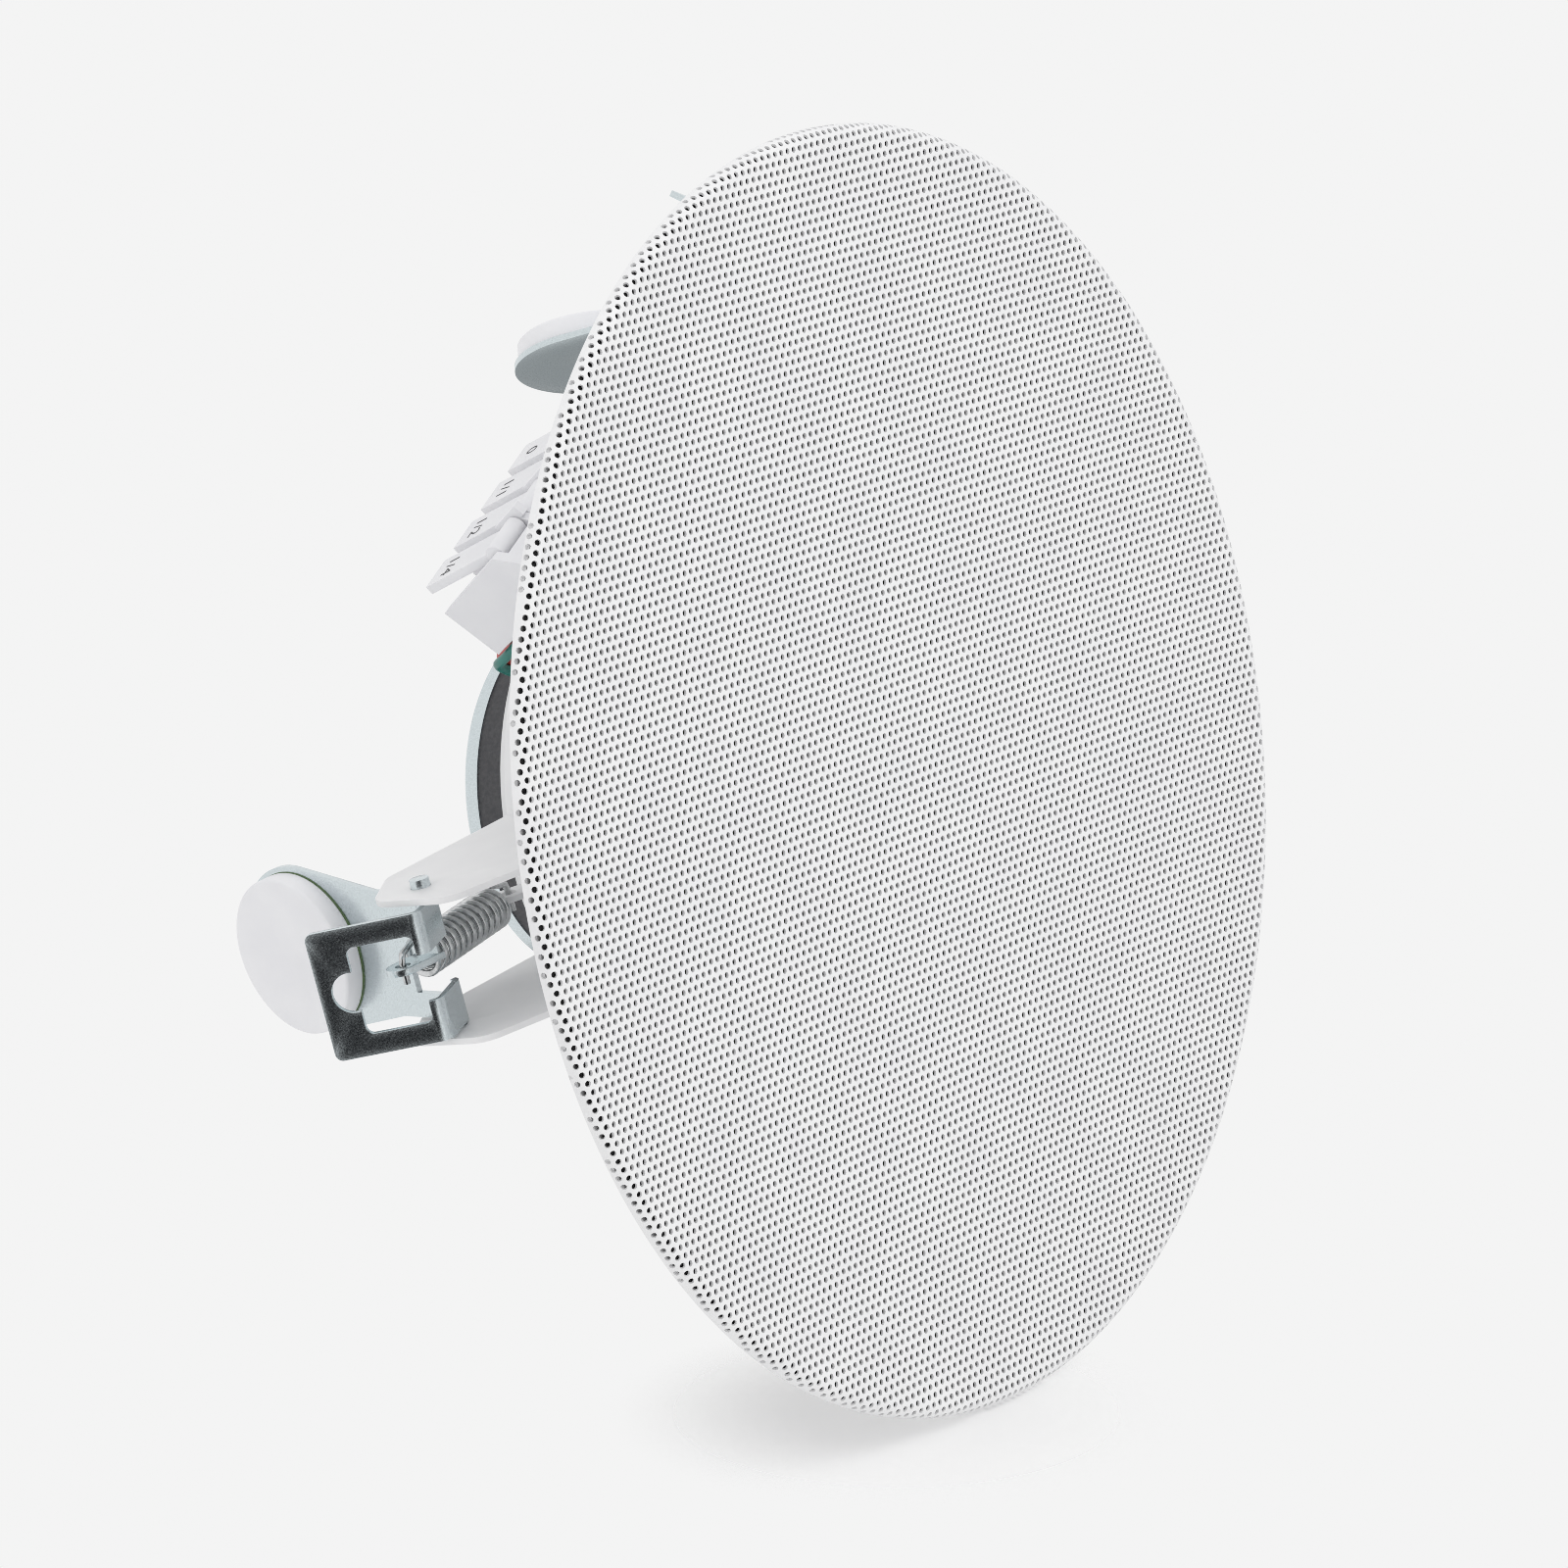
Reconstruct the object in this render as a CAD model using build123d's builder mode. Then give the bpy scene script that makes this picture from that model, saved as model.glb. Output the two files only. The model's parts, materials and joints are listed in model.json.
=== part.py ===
from build123d import *
import os
from math import asin, atan2, cos, degrees, hypot, radians, sin, sqrt, tan

# In-ceiling loudspeaker with a transformer for a high-impedance line, in millimetres.
# +Z points up into the ceiling void, the grille faces down, and the origin is the
# centre of the flange face (z = 0) that meets the underside of the ceiling.

# Grille, cloth and mounting ring
grille_r = 99.4
grille_sheet = 0.5
grille_depth = 5.6
grille_corner = 2.0
grille_dish = 1.6
grille_lip = 0.3
gap_pitch = 17.0
gap_r = 4.6
gap_field_r = 88.0
cloth_sheet = 0.4
cloth_gap = 0.1
cloth_r = 96.8
ring_sheet = 1.0
ring_fit = 0.1
ring_lip = 3.9
ring_bevel = 3.0
ring_flat_r = 94.0
ring_seat_gap = 1.5
ring_step = 0.4

# Basket of the driver, with a straight tapering wall between two radii
gasket_thick = 1.4
basket_sheet = 1.2
basket_flange_r = 78.0
basket_flange_wide = 11.5
basket_wall_lead = 1.2
basket_wall_taper = 22.1
basket_wall_front_z = 8.0
basket_wall_back_z = 41.6
basket_ledge_wide = 4.7
basket_back_z = 46.0
basket_bore_r = 16.0
window_offset = 27.0
window_wide = 16.0
window_front = 9.0
window_long = 19.0
window_corner = 3.0
through_cut = 5.0

# Moving cone, its suspension and the motor
surround_sheet = 0.5
surround_band = 12.5
surround_roll_r = 4.4
surround_land = 1.2
cone_sheet = 0.8
cone_neck_z = 26.0
cap_rise = 5.0
coil_former_r = 12.6
coil_former_wall = 0.4
coil_wire = 0.5
coil_wire_long = 8.0
coil_front_z = 24.0
coil_back_z = 52.0
motor_gap = 0.5
spider_sheet = 0.6
spider_ridge = 1.0
spider_ridges = 3
spider_edge = 1.7
part_gap = 0.1
top_plate_thick = 4.0
top_plate_r = 26.0
magnet_thick = 8.8
magnet_r = 27.7
magnet_bore_r = 17.0
back_plate_thick = 2.8
back_plate_r = 28.0
back_plate_chamfer = 0.6
pole_vent_r = 2.5

# Screws and rivets
screw_r = 1.6
screw_fit = 0.1
screw_head_r = 3.4
screw_head_high = 1.8
screw_count = 4
screw_edge = 4.5
screw_angle = 10.0
rivet_r = 1.5
rivet_head_r = 2.6
rivet_head_high = 1.0
motor_rivet_circle_r = 21.0
motor_rivet_count = 4

# Three sprung clips
clip_angles = (160.3, 280.3, 40.3)
clip_sheet = 1.0
hinge_out = 13.1
hinge_z = 31.3
clip_outer_wide = 23.0
base_front = 5.0
base_back = 36.0
clip_rivet_shares = (0.25, 0.6)
ear_tip_ahead = 6.1
ear_tip_back = 4.7
ear_tip_front = 9.3
ear_shoulder_in = 4.9
ear_shoulder_back = 10.2
ear_corner = 4.5
pivot_r = 1.5
pivot_fit = 0.05
pivot_proud = 1.3
flap_wide = 20.0
plate_tilt = 12.6
plate_face = 0.8
plate_hinge_end = 1.2
fold_r = 2.0
plate_neck = 13.0
pad_along = 32.2
plate_round_r = 13.3
plate_round_half = 100.0
plate_hole_r = 3.2
pad_r = 12.5
pad_thick = 3.5
web_foot = (-6.4, 6.6)
frame_long = 17.9
frame_angle = 38.4
frame_end_bar = 5.6
frame_side_bar = 3.2
frame_corner = 1.2
frame_notch_r = 3.1
frame_notch_in = 5.0
frame_cut = 2.5
spring_slot_long = 60.0
spring_slot_wide = 7.2
flap_open = 128.0
lug_arm = 5.6
lug_hole_r = 1.2
lug_margin = 2.6
lug_slot_long = 8.5
lug_slot_wide = 5.5
anchor_up = 4.2
spring_r = 3.4
spring_wire = 1.0
spring_anchor_hook = 4.5
spring_lug_hook = 8.0

# Terminal block with four sprung levers
terminal_angle = 229.5
pole_pitch = 9.45
pole_count = 4
terminal_end_wall = 1.1
terminal_front = 15.0
terminal_slope_foot = 1.0
terminal_slope_end = 23.0
terminal_back = 40.2
terminal_high = 10.4
ridge_wide = 1.6
ridge_high = 12.4
ridge_front = 21.8
ridge_back = 28.5
lever_pivot_along = 24.5
lever_pivot_up = 10.1
lever_barrel_r = 1.7
lever_fit = 0.3
lever_channel_front = 21.8
lever_channel_floor = 7.6
lever_thick = 1.5
lever_reach = 17.2
lever_wide = 6.6
lever_rise = 14.0
mouth_share = 0.5
mouth_r = 2.3
mouth_deep = 5.0
mouth_step = 0.2
terminal_screw_alongs = (20.0, 36.0)
terminal_screw_deep = 6.0
terminal_screw_gap = 0.3

# Line transformer
transformer_angle = 340.3
core_long = 30.0
core_high = 24.0
core_stack = 14.0
core_limb = 5.0
core_front = 5.5
winding_wide = 26.0
winding_fit = 0.1
strap_sheet = 1.0
strap_foot = 5.0

# Tag strip and the insulated leads that run round the magnet
tag_angle = 100.3
tag_strip_size = (10.0, 24.0, 1.5)
tag_strip_at = 26.0
tag_size = (12.0, 4.0, 0.6)
tag_pitch = 12.0
lead_r = 0.8
lead_sides = 6
lead_pitch = 2.0
lead_inner_r = 30.4
lead_step = 24.0
lead_bend_share = 0.45
lead_under = 1.2
lead_start_along = 34.0
lead_over_along = 41.5
lead_cup_gap = 3.4
lead_cup_turn = 1.6
lead_exit_turn = 6.0
lead_leave_along = 37.0
lead_leave_turn = 14.0
lead_leave_step = 3.0
line_lead_sides = (19.2, 17.3, -17.3, -19.2)
line_lead_taps = ((8.2, 9.5), (9.5, 7.0), (10.8, 9.5), (12.1, 7.0))
driver_lead_taps = ((-8.5, 7.0), (-11.0, 7.0))

# Worked out from the sizes above
basket_mouth_r = basket_flange_r - basket_flange_wide
basket_wall_front_r = basket_mouth_r - basket_wall_lead
basket_wall_back_r = basket_wall_front_r - basket_wall_taper
basket_cup_r = basket_wall_back_r - basket_ledge_wide
surround_inner_r = basket_mouth_r - surround_band
spider_outer_r = basket_wall_back_r - spider_edge
screw_circle_r = basket_flange_r - screw_edge
hinge_r = basket_wall_front_r + hinge_out
ring_seat_r = basket_flange_r + ring_seat_gap
gasket_back_z = gasket_thick - ring_step
wall_run = hypot(basket_wall_front_r - basket_wall_back_r, basket_wall_back_z - basket_wall_front_z)
wall_in = (basket_wall_front_r - basket_wall_back_r) / wall_run
wall_up = (basket_wall_back_z - basket_wall_front_z) / wall_run
basket_flange_z = gasket_back_z + surround_sheet
grille_face_r = grille_r - grille_corner
grille_centre_z = grille_dish - grille_depth
grille_rim_z = grille_corner - grille_depth
dish_r = (grille_face_r**2 + grille_dish**2) / (2 * grille_dish)
ring_r = grille_r - grille_sheet - ring_fit
cloth_z = grille_centre_z + grille_sheet + cloth_gap
magnet_front_z = basket_back_z + top_plate_thick
back_plate_z = magnet_front_z + magnet_thick
coil_outer_r = coil_former_r + coil_former_wall + coil_wire
pole_r = coil_former_r - motor_gap
top_plate_bore_r = coil_outer_r + motor_gap
screw_polar = PolarLocations(screw_circle_r, screw_count, screw_angle)

os.makedirs("parts", exist_ok=True)


def radial_plane(angle, shift=0.0):
    """Plane through the axis: x is the radius, y is up, moved sideways by shift."""
    outward = Vector(cos(radians(angle)), sin(radians(angle)), 0)
    side = Vector(sin(radians(angle)), -cos(radians(angle)), 0)
    return Plane(origin=side * shift, x_dir=outward, z_dir=side)


def wall_plane(angle, along=0.0, lift=0.0):
    """Plane tangent to the basket wall: x runs up the wall, z points out of it."""
    section = radial_plane(angle)
    up = Vector(-wall_in, wall_up, 0)
    out = Vector(wall_up, wall_in, 0)
    start = Vector(basket_wall_front_r, basket_wall_front_z, 0)
    origin = section.from_local_coords(start + up * along + out * lift)
    x_dir = section.from_local_coords(up) - section.origin
    z_dir = section.from_local_coords(out) - section.origin
    return Plane(origin=origin, x_dir=x_dir, z_dir=z_dir)


def wall_point(along, lift):
    """Radius and height of a place on the wall, for use in a radial plane."""
    return (
        basket_wall_front_r - wall_in * along + wall_up * lift,
        basket_wall_front_z + wall_up * along + wall_in * lift,
    )


def flap_plane(angle, lift=0.0):
    """Plane of a flap's plate through its hinge: x runs along the plate, z points outward."""
    section = radial_plane(angle)
    tilt = radians(plate_tilt)
    along = Vector(-sin(tilt), cos(tilt), 0)
    out = Vector(cos(tilt), sin(tilt), 0)
    origin = section.from_local_coords(Vector(hinge_r, hinge_z, 0) + out * lift)
    x_dir = section.from_local_coords(along) - section.origin
    z_dir = section.from_local_coords(out) - section.origin
    return Plane(origin=origin, x_dir=x_dir, z_dir=z_dir)


def save(builder, name):
    builder.part.label = name
    export_step(builder.part, f"parts/{name}.step")


# Grille: a dished steel sheet with a rounded rim; the gaps stand for the fine perforation
gap_points = []
gap_rows = int(gap_field_r / (gap_pitch * sqrt(3) / 2)) + 1
for row in range(-gap_rows, gap_rows + 1):
    for column in range(-2 * gap_rows, 2 * gap_rows + 1):
        gap_x = (column + row % 2 / 2) * gap_pitch
        gap_y = row * gap_pitch * sqrt(3) / 2
        if hypot(gap_x, gap_y) < gap_field_r:
            gap_points.append((gap_x, gap_y))

with BuildPart() as grille:
    with BuildSketch(Plane.XZ):
        with BuildLine():
            CenterArc((0, grille_centre_z - dish_r), dish_r, 90, -degrees(asin(grille_face_r / dish_r)))
            CenterArc((grille_face_r, grille_rim_z), grille_corner, 270, 90)
            Line((grille_r, grille_rim_z), (grille_r, grille_rim_z + grille_lip))
            offset(amount=grille_sheet, side=Side.LEFT)
        make_face()
    revolve(axis=Axis.Z)
    with BuildSketch(Plane.XY.offset(-2 * grille_depth)):
        with Locations(*gap_points):
            RegularPolygon(radius=gap_r, side_count=6)
    extrude(amount=2 * grille_depth, mode=Mode.SUBTRACT)
save(grille, "grille")

with BuildPart() as grille_cloth:
    with BuildSketch(Plane.XY.offset(cloth_z)):
        Circle(cloth_r)
    extrude(amount=cloth_sheet)
save(grille_cloth, "grille_cloth")

# Mounting ring: a pressed ring with a seat for the driver, a flat face for the ceiling and a bevelled lip
with BuildPart() as mounting_ring:
    with BuildSketch(Plane.XZ):
        with BuildLine():
            Polyline(
                (basket_mouth_r, -ring_step),
                (ring_seat_r, -ring_step),
                (ring_seat_r, 0),
                (ring_flat_r, 0),
                (ring_r, -ring_bevel),
                (ring_r, -ring_lip),
            )
            offset(amount=ring_sheet, side=Side.RIGHT, kind=Kind.INTERSECTION)
        make_face()
    revolve(axis=Axis.Z)
    with screw_polar:
        Hole(screw_r + screw_fit)
save(mounting_ring, "mounting_ring")

with BuildPart() as driver_gasket:
    with BuildSketch(Plane.XY.offset(-ring_step)):
        Circle(basket_flange_r)
        Circle(basket_mouth_r, mode=Mode.SUBTRACT)
        with screw_polar:
            Circle(screw_r + screw_fit, mode=Mode.SUBTRACT)
    extrude(amount=gasket_thick)
save(driver_gasket, "driver_gasket")

# Basket: a pressed steel frame with windows between the places of the clips
window_angles = [clip + side * window_offset for clip in clip_angles for side in (-1, 1)]
terminal_screw_places = [(along, 0) for along in terminal_screw_alongs]
with BuildPart() as basket:
    with BuildSketch(Plane.XZ):
        with BuildLine():
            Polyline(
                (basket_flange_r, basket_flange_z + basket_sheet),
                (basket_mouth_r, basket_flange_z + basket_sheet),
                (basket_wall_front_r, basket_wall_front_z),
                (basket_wall_back_r, basket_wall_back_z),
                (basket_cup_r, basket_wall_back_z),
                (basket_cup_r, basket_back_z),
                (basket_bore_r, basket_back_z),
            )
            offset(amount=basket_sheet, side=Side.LEFT, kind=Kind.INTERSECTION)
        make_face()
    revolve(axis=Axis.Z)
    for window_angle in window_angles:
        with BuildSketch(wall_plane(window_angle, window_front + window_long / 2)):
            RectangleRounded(window_long, window_wide, window_corner)
        extrude(amount=through_cut, both=True, mode=Mode.SUBTRACT)
    with screw_polar:
        Hole(screw_r + screw_fit, depth=through_cut)
    with BuildSketch(Plane.XY.offset(basket_back_z)):
        with PolarLocations(motor_rivet_circle_r, motor_rivet_count):
            Circle(rivet_r)
    extrude(amount=-through_cut, mode=Mode.SUBTRACT)
    with BuildSketch(wall_plane(terminal_angle)):
        with Locations(*terminal_screw_places):
            Circle(screw_r + screw_fit)
    extrude(amount=through_cut, both=True, mode=Mode.SUBTRACT)
save(basket, "basket")

# Surround: a rubber roll between the cone and the basket's flange, rolled inward
roll_r = surround_inner_r + surround_land + surround_roll_r
with BuildPart() as surround:
    with BuildSketch(Plane.XZ):
        with BuildLine():
            Line((surround_inner_r, gasket_back_z), (roll_r - surround_roll_r, gasket_back_z))
            CenterArc((roll_r, gasket_back_z), surround_roll_r, 180, -180)
            Line((roll_r + surround_roll_r, gasket_back_z), (basket_flange_r, gasket_back_z))
            offset(amount=surround_sheet, side=Side.LEFT)
        make_face()
    revolve(axis=Axis.Z)
    with screw_polar:
        Hole(screw_r + screw_fit)
save(surround, "surround")

# Cone, dust cap and voice coil move together
cone_rim_z = gasket_back_z + surround_sheet
with BuildPart() as cone:
    with BuildSketch(Plane.XZ):
        with BuildLine():
            Polyline(
                (surround_inner_r - part_gap, cone_rim_z),
                (coil_former_r + coil_former_wall, cone_neck_z),
                (coil_former_r + coil_former_wall, cone_neck_z + cone_sheet),
                (surround_inner_r - part_gap, cone_rim_z + cone_sheet),
                close=True,
            )
        make_face()
    revolve(axis=Axis.Z)
save(cone, "cone")

cap_edge_r = coil_former_r + coil_former_wall
cap_dome_r = (cap_edge_r**2 + cap_rise**2) / (2 * cap_rise)
cap_half = degrees(asin(cap_edge_r / cap_dome_r))
with BuildPart() as dust_cap:
    with BuildSketch(Plane.XZ):
        with BuildLine():
            CenterArc((0, coil_front_z - cap_rise + cap_dome_r), cap_dome_r, 270, cap_half)
            offset(amount=cone_sheet, side=Side.RIGHT)
        make_face()
        Rectangle(4 * cap_edge_r, 4 * cap_edge_r, align=(Align.MAX, Align.CENTER), mode=Mode.SUBTRACT)
    revolve(axis=Axis.Z)
save(dust_cap, "dust_cap")

with BuildPart() as voice_coil:
    with BuildSketch(Plane.XZ):
        with BuildLine():
            Polyline(
                (coil_former_r, coil_front_z + part_gap),
                (coil_former_r, coil_back_z),
                (coil_outer_r, coil_back_z),
                (coil_outer_r, coil_back_z - coil_wire_long),
                (coil_former_r + coil_former_wall - part_gap, coil_back_z - coil_wire_long),
                (coil_former_r + coil_former_wall - part_gap, coil_front_z + part_gap),
                close=True,
            )
        make_face()
    revolve(axis=Axis.Z)
save(voice_coil, "voice_coil")

# Spider: a corrugated cloth disc glued to the ledge inside the basket
spider_z = basket_wall_back_z - basket_sheet - spider_sheet - part_gap
spider_inner_r = coil_former_r + coil_former_wall
spider_land_r = basket_cup_r - basket_sheet
spider_pitch = (spider_land_r - spider_inner_r) / (spider_ridges + 1)
spider_points = [(spider_inner_r, spider_z)]
for ridge in range(spider_ridges):
    ridge_start = spider_inner_r + spider_pitch * (ridge + 0.5)
    spider_points.append((ridge_start, spider_z))
    spider_points.append((ridge_start + spider_pitch / 2, spider_z - spider_ridge))
spider_points.append((spider_land_r, spider_z))
spider_points.append((spider_outer_r, spider_z))
with BuildPart() as spider:
    with BuildSketch(Plane.XZ):
        with BuildLine():
            Polyline(*spider_points)
            offset(amount=spider_sheet, side=Side.LEFT, kind=Kind.INTERSECTION)
        make_face()
    revolve(axis=Axis.Z)
save(spider, "spider")

# Motor: top plate, ferrite ring, and the back plate with its pole
with BuildPart() as top_plate:
    with BuildSketch(Plane.XY.offset(basket_back_z)):
        Circle(top_plate_r)
        Circle(top_plate_bore_r, mode=Mode.SUBTRACT)
        with PolarLocations(motor_rivet_circle_r, motor_rivet_count):
            Circle(rivet_r, mode=Mode.SUBTRACT)
    extrude(amount=top_plate_thick)
save(top_plate, "top_plate")

with BuildPart() as magnet:
    with BuildSketch(Plane.XY.offset(magnet_front_z)):
        Circle(magnet_r)
        Circle(magnet_bore_r, mode=Mode.SUBTRACT)
    extrude(amount=magnet_thick)
save(magnet, "magnet")

with BuildPart() as back_plate:
    with BuildSketch(Plane.XY.offset(back_plate_z)):
        Circle(back_plate_r)
    extrude(amount=back_plate_thick)
    chamfer(back_plate.edges().group_by(Axis.Z)[-1], back_plate_chamfer)
    with BuildSketch(Plane.XY.offset(back_plate_z)):
        Circle(pole_r)
    extrude(amount=basket_back_z - back_plate_z)
    Hole(pole_vent_r)
save(back_plate, "back_plate")

with BuildPart() as motor_rivets:
    with BuildSketch(Plane.XY.offset(basket_back_z - basket_sheet)):
        with PolarLocations(motor_rivet_circle_r, motor_rivet_count):
            Circle(rivet_r)
    extrude(amount=basket_sheet + top_plate_thick)
    with BuildSketch(Plane.XY.offset(basket_back_z - basket_sheet)):
        with PolarLocations(motor_rivet_circle_r, motor_rivet_count):
            Circle(rivet_head_r)
    extrude(amount=-rivet_head_high)
save(motor_rivets, "motor_rivets")

# Screws through the basket's flange, the surround's edge, the gasket and the ring
with BuildPart() as driver_screws:
    with BuildSketch(Plane.XY.offset(-ring_sheet - ring_step)):
        with screw_polar:
            Circle(screw_r)
    extrude(amount=ring_sheet + ring_step + basket_flange_z + basket_sheet)
    with BuildSketch(Plane.XY.offset(basket_flange_z + basket_sheet)):
        with screw_polar:
            Circle(screw_head_r)
    extrude(amount=screw_head_high)
save(driver_screws, "driver_screws")


# Clips: a white bracket with two ears on the basket wall, and a folded flap hinged in the ears
def ear_outline():
    """Side view of an ear, in the radial plane of its clip."""
    foot_back = wall_point(base_back, 0)
    foot_front = wall_point(base_front, 0)
    return [
        foot_back,
        (hinge_r - ear_shoulder_in, hinge_z + ear_shoulder_back),
        (hinge_r + ear_tip_ahead, hinge_z + ear_tip_back),
        (hinge_r + ear_tip_ahead, hinge_z - ear_tip_front),
        foot_front,
    ]


base_long = base_back - base_front
anchor_along = base_back - lug_margin
anchor = wall_point(anchor_along, anchor_up)
anchor_stem = [
    wall_point(anchor_along - lug_margin, 0),
    wall_point(anchor_along + lug_margin, 0),
    wall_point(anchor_along + lug_margin, anchor_up),
    wall_point(anchor_along - lug_margin, anchor_up),
]
rivet_alongs = [base_front + base_long * share for share in clip_rivet_shares]
for number, clip_angle in enumerate(clip_angles, start=1):
    with BuildPart() as bracket:
        with BuildSketch(wall_plane(clip_angle, base_front)):
            Rectangle(base_long, clip_outer_wide, align=(Align.MIN, Align.CENTER))
        extrude(amount=clip_sheet)
        for side in (-1, 1):
            with BuildSketch(radial_plane(clip_angle, side * clip_outer_wide / 2)) as ear:
                with BuildLine():
                    Polyline(*ear_outline(), close=True)
                make_face()
                fillet(ear.vertices().sort_by(Axis.X)[-3:], ear_corner)
                with Locations((hinge_r, hinge_z)):
                    Circle(pivot_r + pivot_fit, mode=Mode.SUBTRACT)
            extrude(amount=-side * clip_sheet)
        with BuildSketch(wall_plane(clip_angle)):
            with Locations(*[(along, 0) for along in rivet_alongs]):
                Circle(rivet_r)
        extrude(amount=clip_sheet, mode=Mode.SUBTRACT)
        with BuildSketch(radial_plane(clip_angle)):
            with BuildLine():
                Polyline(*anchor_stem, close=True)
            make_face()
            with Locations(anchor):
                Circle(lug_margin)
                Circle(lug_hole_r, mode=Mode.SUBTRACT)
        extrude(amount=clip_sheet / 2, both=True)
    save(bracket, f"clip_bracket_{number}")

with BuildPart() as clip_rivets:
    for clip_angle in clip_angles:
        with BuildSketch(wall_plane(clip_angle)):
            with Locations(*[(along, 0) for along in rivet_alongs]):
                Circle(rivet_r)
        extrude(amount=clip_sheet)
        with BuildSketch(wall_plane(clip_angle, lift=clip_sheet)):
            with Locations(*[(along, 0) for along in rivet_alongs]):
                Circle(rivet_head_r)
        extrude(amount=rivet_head_high)
save(clip_rivets, "clip_rivets")

# Flap: one sheet folded into a round-ended plate, a web at the hinge and an outer frame
frame_turn = radians(frame_angle)
frame_tip = (
    web_foot[0] + frame_long * cos(frame_turn),
    web_foot[1] + frame_long * sin(frame_turn),
)
plate_back = -plate_face - clip_sheet

# The spring is as long with the flap open as with it folded: its lug swings equally past the hinge
lug_turn = atan2(hinge_z - anchor[1], hinge_r - anchor[0]) + radians(flap_open / 2)
lug = (hinge_r + lug_arm * cos(lug_turn), hinge_z + lug_arm * sin(lug_turn))
lug_hole = (
    lug_arm * sin(lug_turn - radians(plate_tilt)),
    lug_arm * cos(lug_turn - radians(plate_tilt)),
)
fold_points = [
    (0, plate_back),
    (-plate_hinge_end, plate_back),
    web_foot,
    frame_tip,
]
for number, clip_angle in enumerate(clip_angles, start=1):
    plate_plane = flap_plane(clip_angle)
    side_plane = Plane(plate_plane.origin, x_dir=plate_plane.x_dir, z_dir=-plate_plane.y_dir)
    foot = plate_plane.from_local_coords(Vector(web_foot[0], 0, web_foot[1]))
    tip = plate_plane.from_local_coords(Vector(frame_tip[0], 0, frame_tip[1]))
    frame_plane = Plane(foot, x_dir=tip - foot, z_dir=(tip - foot).cross(plate_plane.y_dir))
    web_start = plate_plane.from_local_coords(Vector(-plate_hinge_end, 0, plate_back))
    web_plane = Plane(web_start, x_dir=foot - web_start, z_dir=(foot - web_start).cross(plate_plane.y_dir))
    with BuildPart() as flap:
        with BuildSketch(flap_plane(clip_angle, plate_back)):
            with BuildLine():
                neck = Line((plate_neck, flap_wide / 2), (plate_neck, -flap_wide / 2))
                round_end = CenterArc((pad_along, 0), plate_round_r, -plate_round_half, 2 * plate_round_half)
                Line(neck @ 1, round_end @ 0)
                Line(neck @ 0, round_end @ 1)
            make_face()
            Rectangle(plate_neck, flap_wide, align=(Align.MIN, Align.CENTER))
            with Locations((pad_along, 0)):
                Circle(plate_hole_r, mode=Mode.SUBTRACT)
        extrude(amount=clip_sheet)
        with BuildSketch(side_plane):
            with BuildLine():
                FilletPolyline(*fold_points, radius=fold_r)
                offset(amount=clip_sheet, side=Side.RIGHT, kind=Kind.INTERSECTION)
            make_face()
        extrude(amount=flap_wide / 2, both=True)
        with BuildSketch(frame_plane):
            with Locations((frame_long - frame_end_bar, 0)):
                RectangleRounded(
                    frame_long - frame_end_bar - fold_r,
                    flap_wide - 2 * frame_side_bar,
                    frame_corner,
                    align=(Align.MAX, Align.CENTER),
                )
            with Locations((frame_long - frame_notch_in, 0)):
                Circle(frame_notch_r)
        extrude(amount=frame_cut, both=True, mode=Mode.SUBTRACT)
        with BuildSketch(frame_plane):
            Rectangle(frame_long, flap_wide, align=(Align.MIN, Align.CENTER))
            with Locations((frame_long, 0)):
                RectangleRounded(
                    2 * frame_long,
                    flap_wide,
                    frame_corner,
                    align=(Align.MAX, Align.CENTER),
                    mode=Mode.SUBTRACT,
                )
        extrude(amount=frame_cut, both=True, mode=Mode.SUBTRACT)
        with BuildSketch(web_plane):
            Rectangle(spring_slot_long, spring_slot_wide)
        extrude(amount=frame_cut, both=True, mode=Mode.SUBTRACT)
        with BuildSketch(flap_plane(clip_angle, plate_back)):
            with Locations((0, clip_sheet / 2)):
                Rectangle(lug_slot_long, lug_slot_wide, align=Align.MIN)
        extrude(amount=clip_sheet, mode=Mode.SUBTRACT)
        with BuildSketch(side_plane):
            with Locations((lug_hole[0], plate_back)):
                Rectangle(2 * lug_margin, lug_hole[1] - plate_back, align=(Align.CENTER, Align.MIN))
            with Locations(lug_hole):
                Circle(lug_margin)
                Circle(lug_hole_r, mode=Mode.SUBTRACT)
        extrude(amount=clip_sheet / 2, both=True)
        for side in (-1, 1):
            with BuildSketch(side_plane.offset(side * (clip_outer_wide / 2 + pivot_proud))):
                Circle(pivot_r)
            extrude(amount=-side * (pivot_proud + clip_outer_wide / 2 - flap_wide / 2 + 2 * clip_sheet))
    save(flap, f"flap_{number}")

    with BuildPart() as pad:
        with BuildSketch(flap_plane(clip_angle, -plate_face)):
            with Locations((pad_along, 0)):
                Circle(pad_r)
        extrude(amount=pad_thick)
    save(pad, f"pad_{number}")

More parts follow.
